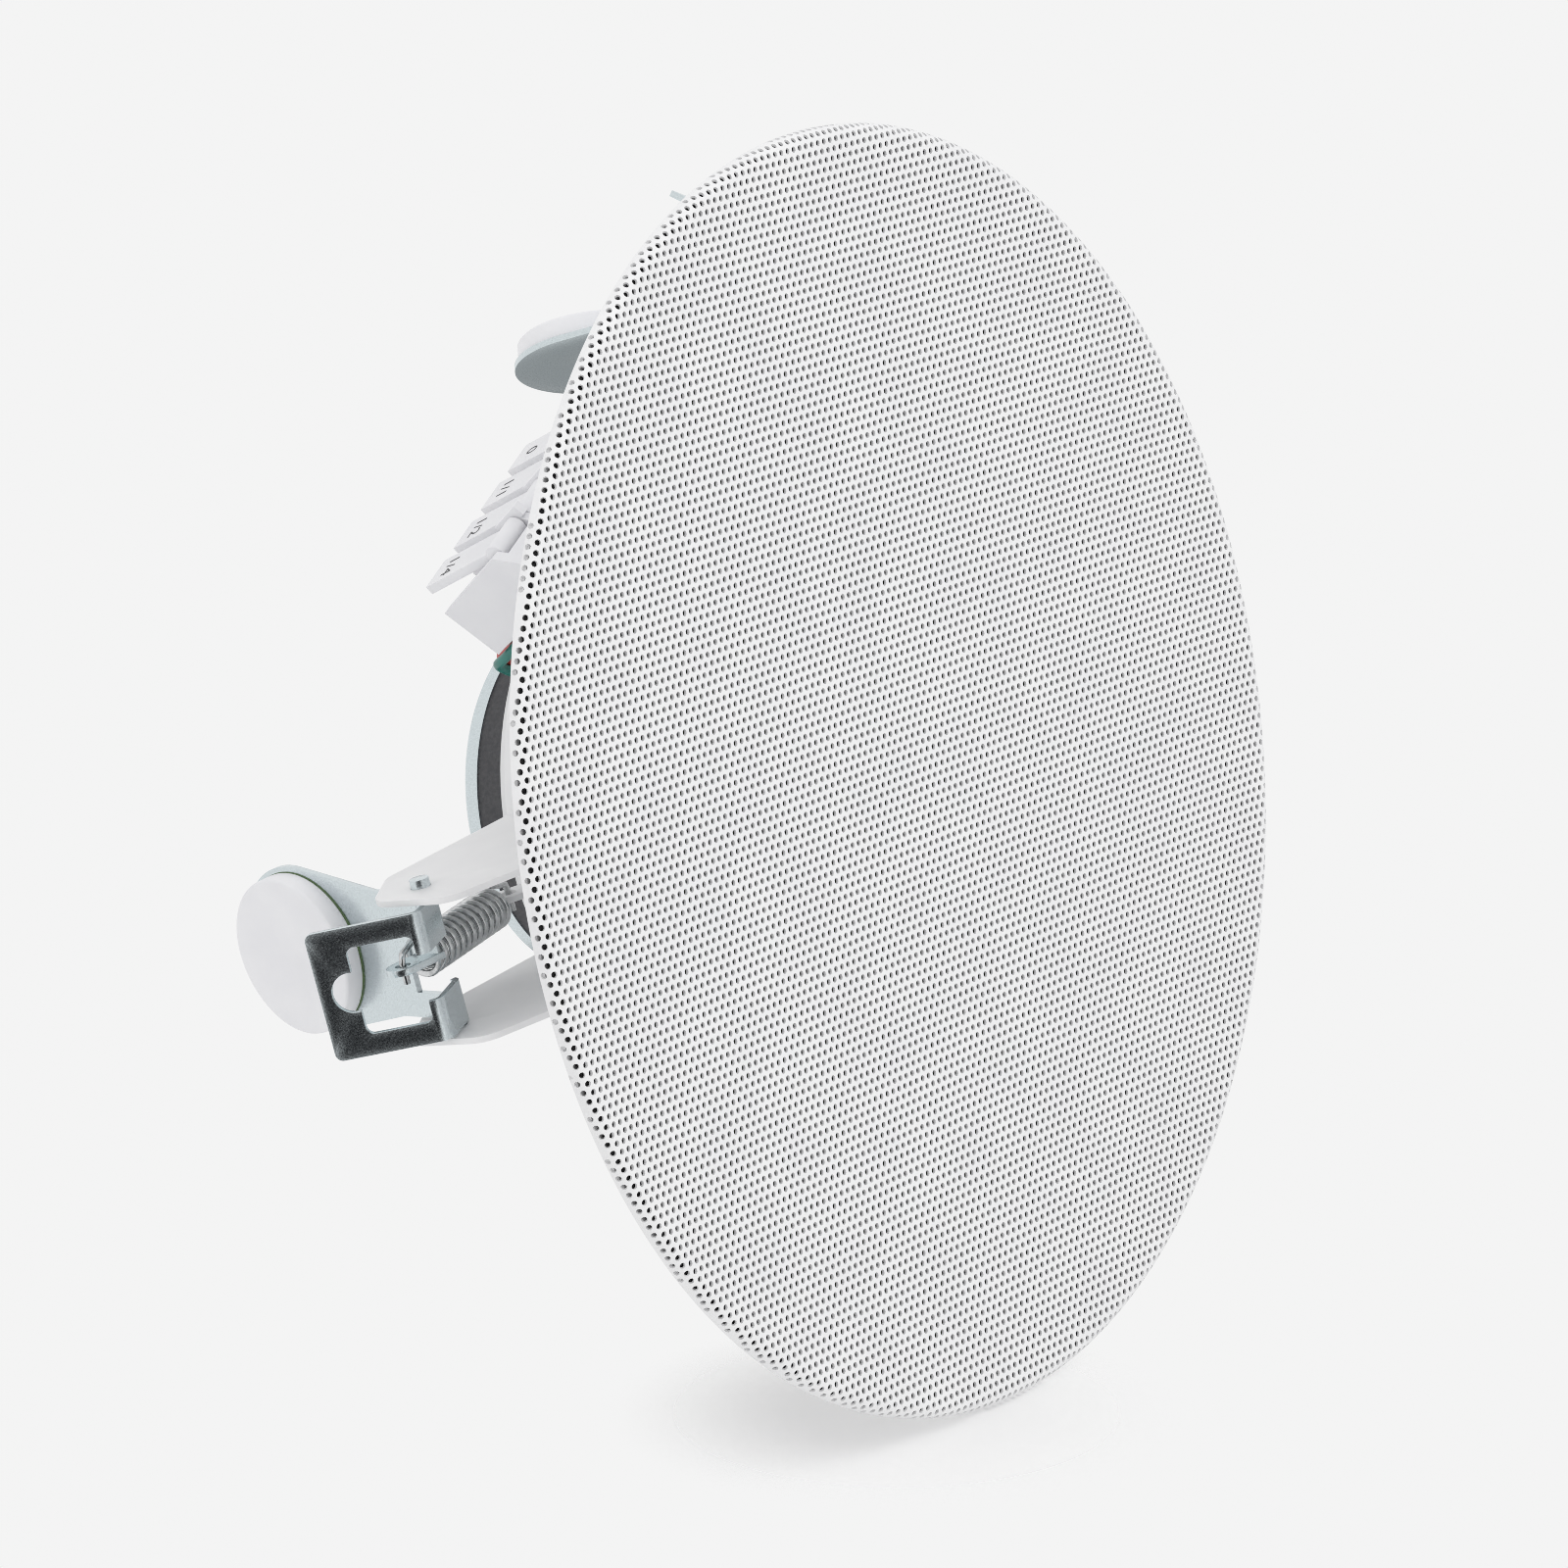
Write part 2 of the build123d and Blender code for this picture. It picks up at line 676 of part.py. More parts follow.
    # Spring: the outer form of its coils, with a hook at each end through the lug and the anchor
    section = radial_plane(clip_angle)
    spring_start = section.from_local_coords(Vector(anchor[0], anchor[1], 0))
    spring_end = section.from_local_coords(Vector(lug[0], lug[1], 0))
    spring_line = spring_end - spring_start
    coil_plane = Plane(spring_start, x_dir=section.z_dir, z_dir=spring_line)
    hook_side = spring_r - spring_wire / 2
    with BuildPart() as spring:
        with BuildSketch(coil_plane.offset(spring_anchor_hook)):
            Circle(spring_r)
            Circle(spring_r - spring_wire, mode=Mode.SUBTRACT)
        extrude(amount=spring_line.length - spring_anchor_hook - spring_lug_hook)
        for hook_at, hook_run in (
            (0, spring_anchor_hook + spring_wire),
            (spring_line.length, -spring_lug_hook - spring_wire),
        ):
            hook_plane = coil_plane.offset(hook_at)
            with BuildSketch(hook_plane):
                with Locations((hook_side, 0)):
                    RegularPolygon(radius=spring_wire / 2, side_count=lead_sides)
            extrude(amount=hook_run)
            with BuildSketch(Plane(hook_plane.origin, z_dir=hook_plane.x_dir).offset(-clip_sheet)):
                RegularPolygon(radius=spring_wire / 2, side_count=lead_sides)
            extrude(amount=clip_sheet + hook_side)
    save(spring, f"clip_spring_{number}")

# Terminal block: a moulded body on the basket wall and four levers that pivot on its top
terminal_wide = pole_count * pole_pitch + 2 * terminal_end_wall
pole_sides = [pole_pitch * (pole - (pole_count - 1) / 2) for pole in range(pole_count)]
ridge_sides = [pole_pitch * (ridge - (pole_count - 2) / 2) for ridge in range(pole_count - 1)]
channel_long = terminal_back - lever_channel_front
terminal_plane = wall_plane(terminal_angle)
terminal_side = Plane(terminal_plane.origin, x_dir=terminal_plane.x_dir, z_dir=-terminal_plane.y_dir)
slope_foot = terminal_side.from_local_coords(Vector(terminal_front, terminal_slope_foot, 0))
slope_end = terminal_side.from_local_coords(Vector(terminal_slope_end, terminal_high, 0))
slope_dir = slope_end - slope_foot
mouth_plane = Plane(
    slope_foot + slope_dir * mouth_share,
    x_dir=slope_dir,
    z_dir=slope_dir.cross(terminal_plane.y_dir),
)
with BuildPart() as terminal_body:
    with BuildSketch(terminal_side):
        with BuildLine():
            Polyline(
                (terminal_front, 0),
                (terminal_back, 0),
                (terminal_back, terminal_high),
                (terminal_slope_end, terminal_high),
                (terminal_front, terminal_slope_foot),
                close=True,
            )
        make_face()
    extrude(amount=terminal_wide / 2, both=True)
    with BuildSketch(wall_plane(terminal_angle, lever_channel_front, lever_channel_floor)):
        with Locations(*[(0, side) for side in pole_sides]):
            Rectangle(channel_long, pole_pitch - ridge_wide, align=(Align.MIN, Align.CENTER))
    extrude(amount=terminal_high - lever_channel_floor, mode=Mode.SUBTRACT)
    with BuildSketch(wall_plane(terminal_angle, ridge_front, terminal_high)):
        with Locations(*[(0, side) for side in ridge_sides]):
            Rectangle(ridge_back - ridge_front, ridge_wide, align=(Align.MIN, Align.CENTER))
    extrude(amount=ridge_high - terminal_high)
    for pole, side in enumerate(pole_sides):
        with BuildSketch(mouth_plane):
            with Locations((0, side)):
                Circle(mouth_r)
        extrude(amount=mouth_step * pole - mouth_deep, mode=Mode.SUBTRACT)
    with BuildSketch(wall_plane(terminal_angle)):
        with Locations(*terminal_screw_places):
            Circle(screw_r)
    extrude(amount=terminal_screw_deep, mode=Mode.SUBTRACT)
save(terminal_body, "terminal_body")

with BuildPart() as terminal_screws:
    with BuildSketch(wall_plane(terminal_angle, lift=-basket_sheet - terminal_screw_gap)):
        with Locations(*terminal_screw_places):
            Circle(screw_r)
    extrude(amount=basket_sheet + terminal_screw_gap + terminal_screw_deep)
    with BuildSketch(wall_plane(terminal_angle, lift=-basket_sheet - terminal_screw_gap)):
        with Locations(*terminal_screw_places):
            Circle(screw_head_r)
    extrude(amount=-screw_head_high)
save(terminal_screws, "terminal_screws")

for number, pole_side in enumerate(pole_sides, start=1):
    pivot_plane = wall_plane(terminal_angle, lever_pivot_along, lever_pivot_up)
    barrel_plane = Plane(
        pivot_plane.from_local_coords(Vector(0, pole_side, 0)),
        x_dir=pivot_plane.x_dir,
        z_dir=-pivot_plane.y_dir,
    )
    barrel_long = pole_pitch - ridge_wide - 2 * lever_fit
    rise = radians(lever_rise)
    tab_dir = pivot_plane.x_dir * cos(rise) + pivot_plane.z_dir * sin(rise)
    tab_plane = Plane(barrel_plane.origin, x_dir=tab_dir, z_dir=barrel_plane.z_dir)
    with BuildPart() as lever:
        with BuildSketch(barrel_plane):
            Circle(lever_barrel_r)
        extrude(amount=barrel_long / 2, both=True)
        with BuildSketch(tab_plane):
            Rectangle(lever_reach, lever_thick, align=(Align.MIN, Align.CENTER))
        extrude(amount=lever_wide / 2, both=True)
    save(lever, f"terminal_lever_{number}")

# Line transformer: laminated core, winding round its middle limb, and a strap with two feet
core_window = (core_long - 4 * core_limb) / 2
with BuildPart() as transformer_core:
    with BuildSketch(wall_plane(transformer_angle, core_front)):
        Rectangle(core_long, core_stack, align=(Align.MIN, Align.CENTER))
    extrude(amount=core_high)
    with BuildSketch(wall_plane(transformer_angle, core_front, core_limb)):
        with Locations((core_limb, 0), (core_long - core_limb - core_window, 0)):
            Rectangle(core_window, core_stack, align=(Align.MIN, Align.CENTER))
    extrude(amount=core_high - 2 * core_limb, mode=Mode.SUBTRACT)
save(transformer_core, "transformer_core")

winding_start = core_front + core_limb + winding_fit
winding_long = core_long - 2 * core_limb - 2 * winding_fit
with BuildPart() as transformer_winding:
    with BuildSketch(wall_plane(transformer_angle, winding_start, core_limb + winding_fit)):
        Rectangle(winding_long, winding_wide, align=(Align.MIN, Align.CENTER))
        with Locations((winding_long / 2, 0)):
            Rectangle(2 * core_limb + 2 * winding_fit, core_stack + 2 * winding_fit, mode=Mode.SUBTRACT)
    extrude(amount=core_high - 2 * core_limb - 2 * winding_fit)
save(transformer_winding, "transformer_winding")

strap_ends = (core_front - strap_foot, core_front + core_long + strap_foot)
strap_screw_alongs = (
    (strap_ends[0] + core_front - strap_sheet) / 2,
    (strap_ends[1] + core_front + core_long + strap_sheet) / 2,
)
strap_wall = wall_plane(transformer_angle)
with BuildPart() as transformer_strap:
    with BuildSketch(Plane(strap_wall.origin, x_dir=strap_wall.x_dir, z_dir=-strap_wall.y_dir)):
        with BuildLine():
            Polyline(
                (strap_ends[0], 0),
                (core_front, 0),
                (core_front, core_high),
                (core_front + core_long, core_high),
                (core_front + core_long, 0),
                (strap_ends[1], 0),
            )
            offset(amount=strap_sheet, side=Side.LEFT, kind=Kind.INTERSECTION)
        make_face()
    extrude(amount=core_stack / 2, both=True)
    with BuildSketch(strap_wall):
        with Locations(*[(along, 0) for along in strap_screw_alongs]):
            Circle(rivet_r)
    extrude(amount=strap_sheet, mode=Mode.SUBTRACT)
save(transformer_strap, "transformer_strap")

with BuildPart() as transformer_rivets:
    with BuildSketch(strap_wall):
        with Locations(*[(along, 0) for along in strap_screw_alongs]):
            Circle(rivet_r)
    extrude(amount=strap_sheet)
    with BuildSketch(wall_plane(transformer_angle, lift=strap_sheet)):
        with Locations(*[(along, 0) for along in strap_screw_alongs]):
            Circle(rivet_r + strap_sheet / 2)
    extrude(amount=rivet_head_high)
save(transformer_rivets, "transformer_rivets")

# Tag strip for the driver's own leads
strip_long, strip_wide, strip_thick = tag_strip_size
tag_long, tag_wide, tag_thick = tag_size
with BuildPart() as tag_strip:
    with BuildSketch(wall_plane(tag_angle, tag_strip_at)):
        Rectangle(strip_long, strip_wide, align=(Align.MIN, Align.CENTER))
    extrude(amount=strip_thick)
save(tag_strip, "tag_strip")

with BuildPart() as solder_tags:
    with BuildSketch(wall_plane(tag_angle, tag_strip_at, strip_thick)):
        with Locations((0, -tag_pitch / 2), (0, tag_pitch / 2)):
            Rectangle(tag_long, tag_wide, align=(Align.MIN, Align.CENTER))
    extrude(amount=tag_thick)
save(solder_tags, "solder_tags")


# Leads: four from the terminal block to the transformer, two from there to the tag strip
def polar_point(radius, angle, height):
    return Vector(radius * cos(radians(angle)), radius * sin(radians(angle)), height)


def polar_angle(point):
    return degrees(atan2(point.Y, point.X)) % 360


def circle_points(radius, first, last):
    """Corners of a lead's run round the magnet, at equal steps between two angles."""
    steps = max(1, round((last - first) / lead_step))
    return [polar_point(radius, first + (last - first) * step / steps, lead_z) for step in range(steps + 1)]


def make_lead(points, name):
    """A wire along straight runs, joined by the widest bends that fit."""
    bends = []
    for before, corner, after in zip(points, points[1:], points[2:]):
        run = min((corner - before).length, (after - corner).length)
        turn = (corner - before).get_angle(after - corner)
        bends.append(lead_bend_share * run / tan(radians(turn / 2)))
    with BuildPart() as lead:
        with BuildLine() as route:
            FilletPolyline(*points, radius=bends)
        with BuildSketch(Plane(route.line @ 0, z_dir=route.line % 0)):
            RegularPolygon(radius=lead_r, side_count=lead_sides)
        sweep()
    save(lead, name)


lead_z = basket_back_z + lead_r + part_gap
lead_cup_r = basket_cup_r + lead_cup_gap
winding_back = core_front + core_long - core_limb
transformer_wall = wall_plane(transformer_angle)
terminal_wall = wall_plane(terminal_angle)
for number, start_side in enumerate(line_lead_sides, start=1):
    circle_r = lead_inner_r + lead_pitch * (number - 1)
    tap_side, tap_up = line_lead_taps[number - 1]
    start = terminal_wall.from_local_coords(Vector(lead_start_along, start_side, -lead_under))
    over = terminal_wall.from_local_coords(Vector(lead_over_along, start_side, -lead_under))
    near = transformer_wall.from_local_coords(Vector(lead_leave_along, tap_side, tap_up))
    tap = transformer_wall.from_local_coords(Vector(winding_back, tap_side, tap_up))
    cup_angle = polar_angle(over) + lead_cup_turn
    leave_angle = polar_angle(near) - lead_leave_turn + lead_leave_step * (2 - number)
    cup = polar_point(lead_cup_r, cup_angle, lead_z)
    leave = polar_point(lead_cup_r, leave_angle + lead_exit_turn, lead_z)
    ring = circle_points(circle_r, cup_angle + lead_exit_turn, leave_angle)
    make_lead([start, over, cup, *ring, leave, near, tap], f"line_lead_{number}")

tag_wall = wall_plane(tag_angle)
tag_up = strip_thick + tag_thick + lead_r
for number, (tap_side, tap_up) in enumerate(driver_lead_taps, start=1):
    circle_r = lead_inner_r + lead_pitch * (number - 1)
    tag_side = tag_pitch * (number - 1.5)
    tap = transformer_wall.from_local_coords(Vector(winding_back, tap_side, tap_up))
    near = transformer_wall.from_local_coords(Vector(lead_leave_along, tap_side, tap_up))
    over = tag_wall.from_local_coords(Vector(lead_over_along, tag_side, tag_up))
    end = tag_wall.from_local_coords(Vector(tag_strip_at + tag_long / 2, tag_side, tag_up))
    join_angle = polar_angle(near) + lead_exit_turn - 360
    leave_angle = polar_angle(over) - lead_cup_turn
    join = polar_point(lead_cup_r, join_angle, lead_z)
    leave = polar_point(lead_cup_r, leave_angle, lead_z)
    ring = circle_points(circle_r, join_angle + lead_exit_turn, leave_angle - lead_exit_turn)
    make_lead([tap, near, join, *ring, leave, over, end], f"driver_lead_{number}")
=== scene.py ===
import json
import math

import bmesh
import bpy
import numpy as np
from mathutils import Matrix, Vector


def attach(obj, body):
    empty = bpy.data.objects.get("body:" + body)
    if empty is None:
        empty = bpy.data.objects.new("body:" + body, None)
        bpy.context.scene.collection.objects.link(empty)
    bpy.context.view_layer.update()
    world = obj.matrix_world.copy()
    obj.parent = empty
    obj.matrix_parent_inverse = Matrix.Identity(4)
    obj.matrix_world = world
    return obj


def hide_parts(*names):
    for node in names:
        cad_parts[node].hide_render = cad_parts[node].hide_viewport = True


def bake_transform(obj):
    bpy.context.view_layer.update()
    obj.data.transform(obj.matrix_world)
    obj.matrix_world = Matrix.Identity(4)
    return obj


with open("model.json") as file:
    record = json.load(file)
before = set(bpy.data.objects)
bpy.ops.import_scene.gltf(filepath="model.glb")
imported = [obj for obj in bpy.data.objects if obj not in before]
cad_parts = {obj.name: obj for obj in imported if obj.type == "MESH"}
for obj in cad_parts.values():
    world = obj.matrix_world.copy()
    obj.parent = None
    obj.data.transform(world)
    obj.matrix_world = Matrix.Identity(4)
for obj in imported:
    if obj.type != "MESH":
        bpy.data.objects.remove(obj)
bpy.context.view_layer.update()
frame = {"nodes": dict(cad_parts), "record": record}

# In-ceiling loudspeaker: looks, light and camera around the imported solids. Metres, +Z up into the ceiling.
scene = bpy.context.scene
MM = 0.001

# Camera of the photograph: axes and distance in the part's own frame
PHOTO_SIDE = 1600
FOCAL_PIXELS = 8388.8
SENSOR = 36.0
CLIP_NEAR = 0.05
CLIP_FAR = 20.0
PIXEL_FILTER = 0.9
CAMERA_RIGHT = Vector((0.5867, 0.0437, -0.8086))
CAMERA_UP = Vector((0.0, -0.9985, -0.0540))
CAMERA_BACK = Vector((-0.8098, 0.0317, -0.5859))
GRILLE_CENTRE = Vector((-0.7 * MM, 0.1 * MM, -4.0 * MM))
CENTRE_SEEN_AT = (19.2 * MM, 2.2 * MM, 1261.2 * MM)

# Light and background
BACKDROP = (0.904, 0.904, 0.904, 1.0)
WHITE = (1.0, 1.0, 1.0, 1.0)
AMBIENT = 0.87
KEY_TOWARD = 0.45 * CAMERA_RIGHT + 0.75 * CAMERA_UP + 0.70 * CAMERA_BACK
KEY_DISTANCE = 1.3
KEY_SIZE = 0.9
KEY_POWER = 3.3

# Floors, and the cards that bare metal reflects: name, direction, half width and shade
FLOOR_LEAN = math.radians(15.0)
FLOOR_PAINT = (0.93, 0.93, 0.93, 1.0)
FLOOR_FADE_FROM = 0.25
SHADOW_SIDE = -18.0 * MM
SHADOW_NEAR = 8.0 * MM
SHADOW_FADE = 46.0 * MM
TABLE_FADE = 0.8
TABLE_GAP = 0.1 * MM
CARD_DISTANCE = 1.0
CARD_FADE_FROM = 0.4
CARDS = (
    ("dark_card", Vector((-0.80, 0.55, -0.24)), 0.75, (0.02, 0.02, 0.022, 1.0)),
    ("grey_card", Vector((0.705, 0.543, 0.455)), 0.6, (0.33, 0.34, 0.345, 1.0)),
    ("camera_card", CAMERA_BACK, 0.45, (0.04, 0.04, 0.042, 1.0)),
)

# The part of a noise value that is used, and the colour mix node's sockets: share, two colours, result
NOISE_MIDDLE = (0.35, 0.65)
MIX_SHARE, MIX_BASE, MIX_ACCENT = 0, 6, 7
MIX_RESULT = 2

# Meshes stay crisp at edges sharper than these angles
GRILLE_CREASE = 60.0
CLOTH_CREASE = 40.0
TURNED_CREASE = 40.0
WIRE_CREASE = 50.0
FLEX_CREASE = 50.0
ROUNDED_CREASE = 30.0

# Grille: dished sheet with a rounded rim and a hexagonal pattern of round holes
GRILLE_R = 99.4 * MM
GRILLE_DEPTH = 5.6 * MM
GRILLE_CORNER = 2.0 * MM
GRILLE_DISH = 1.6 * MM
GRILLE_SHEET = 0.42 * MM
GRILLE_LIP = 0.3 * MM
HOLE_PITCH = 1.637 * MM
HOLE_R = 0.5 * MM
HOLE_SIDES = 8
HOLE_EDGE = 0.55 * MM
HEX_SIDES = 6
HEX_TURN = 30
CORNER_STEP = HOLE_PITCH / 64
ROW_TURN = math.radians(-12.3)
PATTERN_START = (-0.79 * MM, -0.52 * MM)
GRILLE_SECTORS = 4
TINY_RUN = 1e-12
TINY_AREA = 1e-14

# Cloth behind the grille
CLOTH_TUCK = 1.9 * MM
CLOTH_GAP = 0.12 * MM
CLOTH_SHEET = 0.3 * MM
CLOTH_RINGS = 50
CLOTH_SPOKES = 120

# Basket wall, clips and springs, as in the solids
WALL_FRONT = Vector((65.3 * MM, 8.0 * MM))
WALL_BACK = Vector((43.2 * MM, 41.6 * MM))
CLIP_ANGLES = (160.3, 280.3, 40.3)
HINGE = Vector((78.4 * MM, 31.3 * MM))
FLAP_OPEN = math.radians(128.0)
LUG_ARM = 5.6 * MM
ANCHOR_ALONG = 33.4 * MM
ANCHOR_UP = 4.2 * MM
SPRING_R = 3.5 * MM
SPRING_WIRE = 1.05 * MM
SPRING_TURNS = 13
SPRING_STEPS = 24
SPRING_ANCHOR_HOOK = 4.5 * MM
SPRING_LUG_HOOK = 5.0 * MM
WIRE_SIDES = 10

# A spring's hook from its tip: shares of its half width to the side, and of its reach toward the turns
HOOK_HALF = 2.4 * MM
HOOK_BEND = ((-1.0, 0.0), (0.3, 0.0), (0.85, 0.1), (1.0, 0.4))
HOOK_JOIN = (0.97, 0.8)

# Rounding of the solids' edges: each piece's width and segments
WELD = 0.001 * MM
FLAT_ANGLE = math.radians(1.0)
EDGE_ANGLE = math.radians(35)
BLOCK_ROUND = (0.6 * MM, 4)
LEVER_ROUND = (0.3 * MM, 3)
EAR_ROUND = (0.2 * MM, 2)
FLAP_ROUND = (0.15 * MM, 2)
PAD_ROUND = (0.5 * MM, 3)

# Terminal block and the tap marks on its levers
TERMINAL_ANGLE = 229.5
POLE_PITCH = 9.45 * MM
LEVER_PIVOT = (24.5 * MM, 10.1 * MM)
LEVER_RISE = math.radians(14.0)
LEVER_THICK = 1.5 * MM
MARK_ALONG = 13.4 * MM
MARK_SIZE = 3.6 * MM
MARK_LIFT = 0.02 * MM
TAP_MARKS = ("0", "1/1", "1/2", "1/4")

# Surround and spider: sectors and steps, and the profile's radii and heights
FLEX_SECTORS = 12
FLEX_STEPS = 6
SURROUND_INNER = 54.0 * MM
ROLL_AT = 59.6 * MM
ROLL_R = 4.4 * MM
ROLL_STEPS = 16
ROLL_TRIM = 2
SURROUND_OUTER = 78.0 * MM
SURROUND_Z = 1.0 * MM
SURROUND_SHEET = 0.5 * MM
SPIDER_INNER = 13.0 * MM
SPIDER_FIRST = 16.04 * MM
SPIDER_PITCH = 6.075 * MM
SPIDER_RIDGES = 3
SPIDER_RIDGE = 1.0 * MM
RIPPLE_STEPS = 10
SPIDER_LAND = 37.3 * MM
SPIDER_OUTER = 41.5 * MM
SPIDER_Z = 39.7 * MM
SPIDER_SHEET = 0.6 * MM

# Leads round the magnet: the route's places, as in the solids
LEAD_R = 0.8 * MM
LEAD_ROUND = 3
LEAD_Z = 46.9 * MM
LEAD_CUP_R = 41.9 * MM
LEAD_INNER_R = 30.4 * MM
LEAD_PITCH = 2.0 * MM
LEAD_STEP = 24.0
LEAD_CUP_TURN = 1.6
LEAD_EXIT_TURN = 6.0
LEAD_LEAVE_TURN = 14.0
LEAD_LEAVE_STEP = 3.0
LEAD_START_ALONG = 34.0 * MM
LEAD_OVER_ALONG = 41.5 * MM
LEAD_LEAVE_ALONG = 37.0 * MM
LEAD_UNDER = 1.2 * MM
WINDING_BACK = 30.5 * MM
TRANSFORMER_ANGLE = 340.3
TAG_ANGLE = 100.3
TAG_ALONG = 32.0 * MM
TAG_UP = 2.9 * MM
TAG_PITCH = 12.0 * MM
LINE_LEAD_SIDES = (19.2 * MM, 17.3 * MM, -17.3 * MM, -19.2 * MM)
LINE_LEAD_TAPS = (
    (8.2 * MM, 9.5 * MM),
    (9.5 * MM, 7.0 * MM),
    (10.8 * MM, 9.5 * MM),
    (12.1 * MM, 7.0 * MM),
)
DRIVER_LEAD_TAPS = ((-8.5 * MM, 7.0 * MM), (-11.0 * MM, 7.0 * MM))

# Pads: a thin dark green band of painted shade at their foot, and the adhesive that shows in the plate's
# hole
PLATE_TILT = math.radians(12.6)
PLATE_FACE = 0.8 * MM
PAD_ALONG = 32.2 * MM
PAD_R = 12.5 * MM
PAD_SIDES = 64
# The painted shade band at a pad's foot: how far it stands past the pad, and its height
FOOT_SHADE_PROUD = 0.05 * MM
FOOT_SHADE_HIGH = 0.16 * MM
GLUE_R = 3.15 * MM
GLUE_CORE = 0.02 * MM
GLUE_SINK = 0.35 * MM
GLUE_SIDES = 32


def node_tree(owner):
    owner.use_nodes = True
    return owner.node_tree.nodes, owner.node_tree.links


def add_noise(nodes, links, scale, detail=3.0):
    """A noise value over the object's own coordinates; scale is in cycles per metre."""
    place = nodes.new("ShaderNodeTexCoord")
    noise = nodes.new("ShaderNodeTexNoise")
    noise.inputs["Scale"].default_value = scale
    noise.inputs["Detail"].default_value = detail
    links.new(place.outputs["Object"], noise.inputs["Vector"])
    return noise.outputs["Fac"]


def add_range(nodes, links, value, before, after):
    """A value moved from one pair of limits to another."""
    spread = nodes.new("ShaderNodeMapRange")
    spread.inputs["From Min"].default_value = before[0]
    spread.inputs["From Max"].default_value = before[1]
    spread.inputs["To Min"].default_value = after[0]
    spread.inputs["To Max"].default_value = after[1]
    links.new(value, spread.inputs["Value"])
    return spread


def add_math(nodes, links, operation, first, second):
    """The result of an operation on two values, of which the first may be a plain number."""
    node = nodes.new("ShaderNodeMath")
    node.operation = operation
    if isinstance(first, float):
        node.inputs[0].default_value = first
    else:
        links.new(first, node.inputs[0])
    links.new(second, node.inputs[1])
    return node.outputs[0]


def add_surface(nodes, links, output, share, first, second):
    """Sends out a shader that goes from the first to the second as the share goes from 0 to 1."""
    mix = nodes.new("ShaderNodeMixShader")
    links.new(share, mix.inputs[0])
    links.new(first.outputs[0], mix.inputs[1])
    links.new(second.outputs[0], mix.inputs[2])
    links.new(mix.outputs[0], nodes.new(output).inputs["Surface"])


def make_material(
    name, base, accent, grain, rough, metallic=0.0, bump_grain=2500.0, bump=0.1, depth=0.02 * MM
):
    """A surface that drifts between two colours and two roughness values, with a fine bump."""
    material = bpy.data.materials.new(name)
    nodes, links = node_tree(material)
    shader = nodes["Principled BSDF"]
    shader.inputs["Metallic"].default_value = metallic
    drift = add_noise(nodes, links, grain)
    mix = nodes.new("ShaderNodeMix")
    mix.data_type = "RGBA"
    mix.inputs[MIX_BASE].default_value = (*base, 1.0)
    mix.inputs[MIX_ACCENT].default_value = (*accent, 1.0)
    shade = add_range(nodes, links, drift, NOISE_MIDDLE, (0.0, 1.0))
    links.new(shade.outputs["Result"], mix.inputs[MIX_SHARE])
    links.new(mix.outputs[MIX_RESULT], shader.inputs["Base Color"])
    polish = add_range(nodes, links, drift, NOISE_MIDDLE, rough)
    links.new(polish.outputs["Result"], shader.inputs["Roughness"])
    relief = nodes.new("ShaderNodeBump")
    relief.inputs["Strength"].default_value = bump
    relief.inputs["Distance"].default_value = depth
    links.new(add_noise(nodes, links, bump_grain), relief.inputs["Height"])
    links.new(relief.outputs["Normal"], shader.inputs["Normal"])
    return material


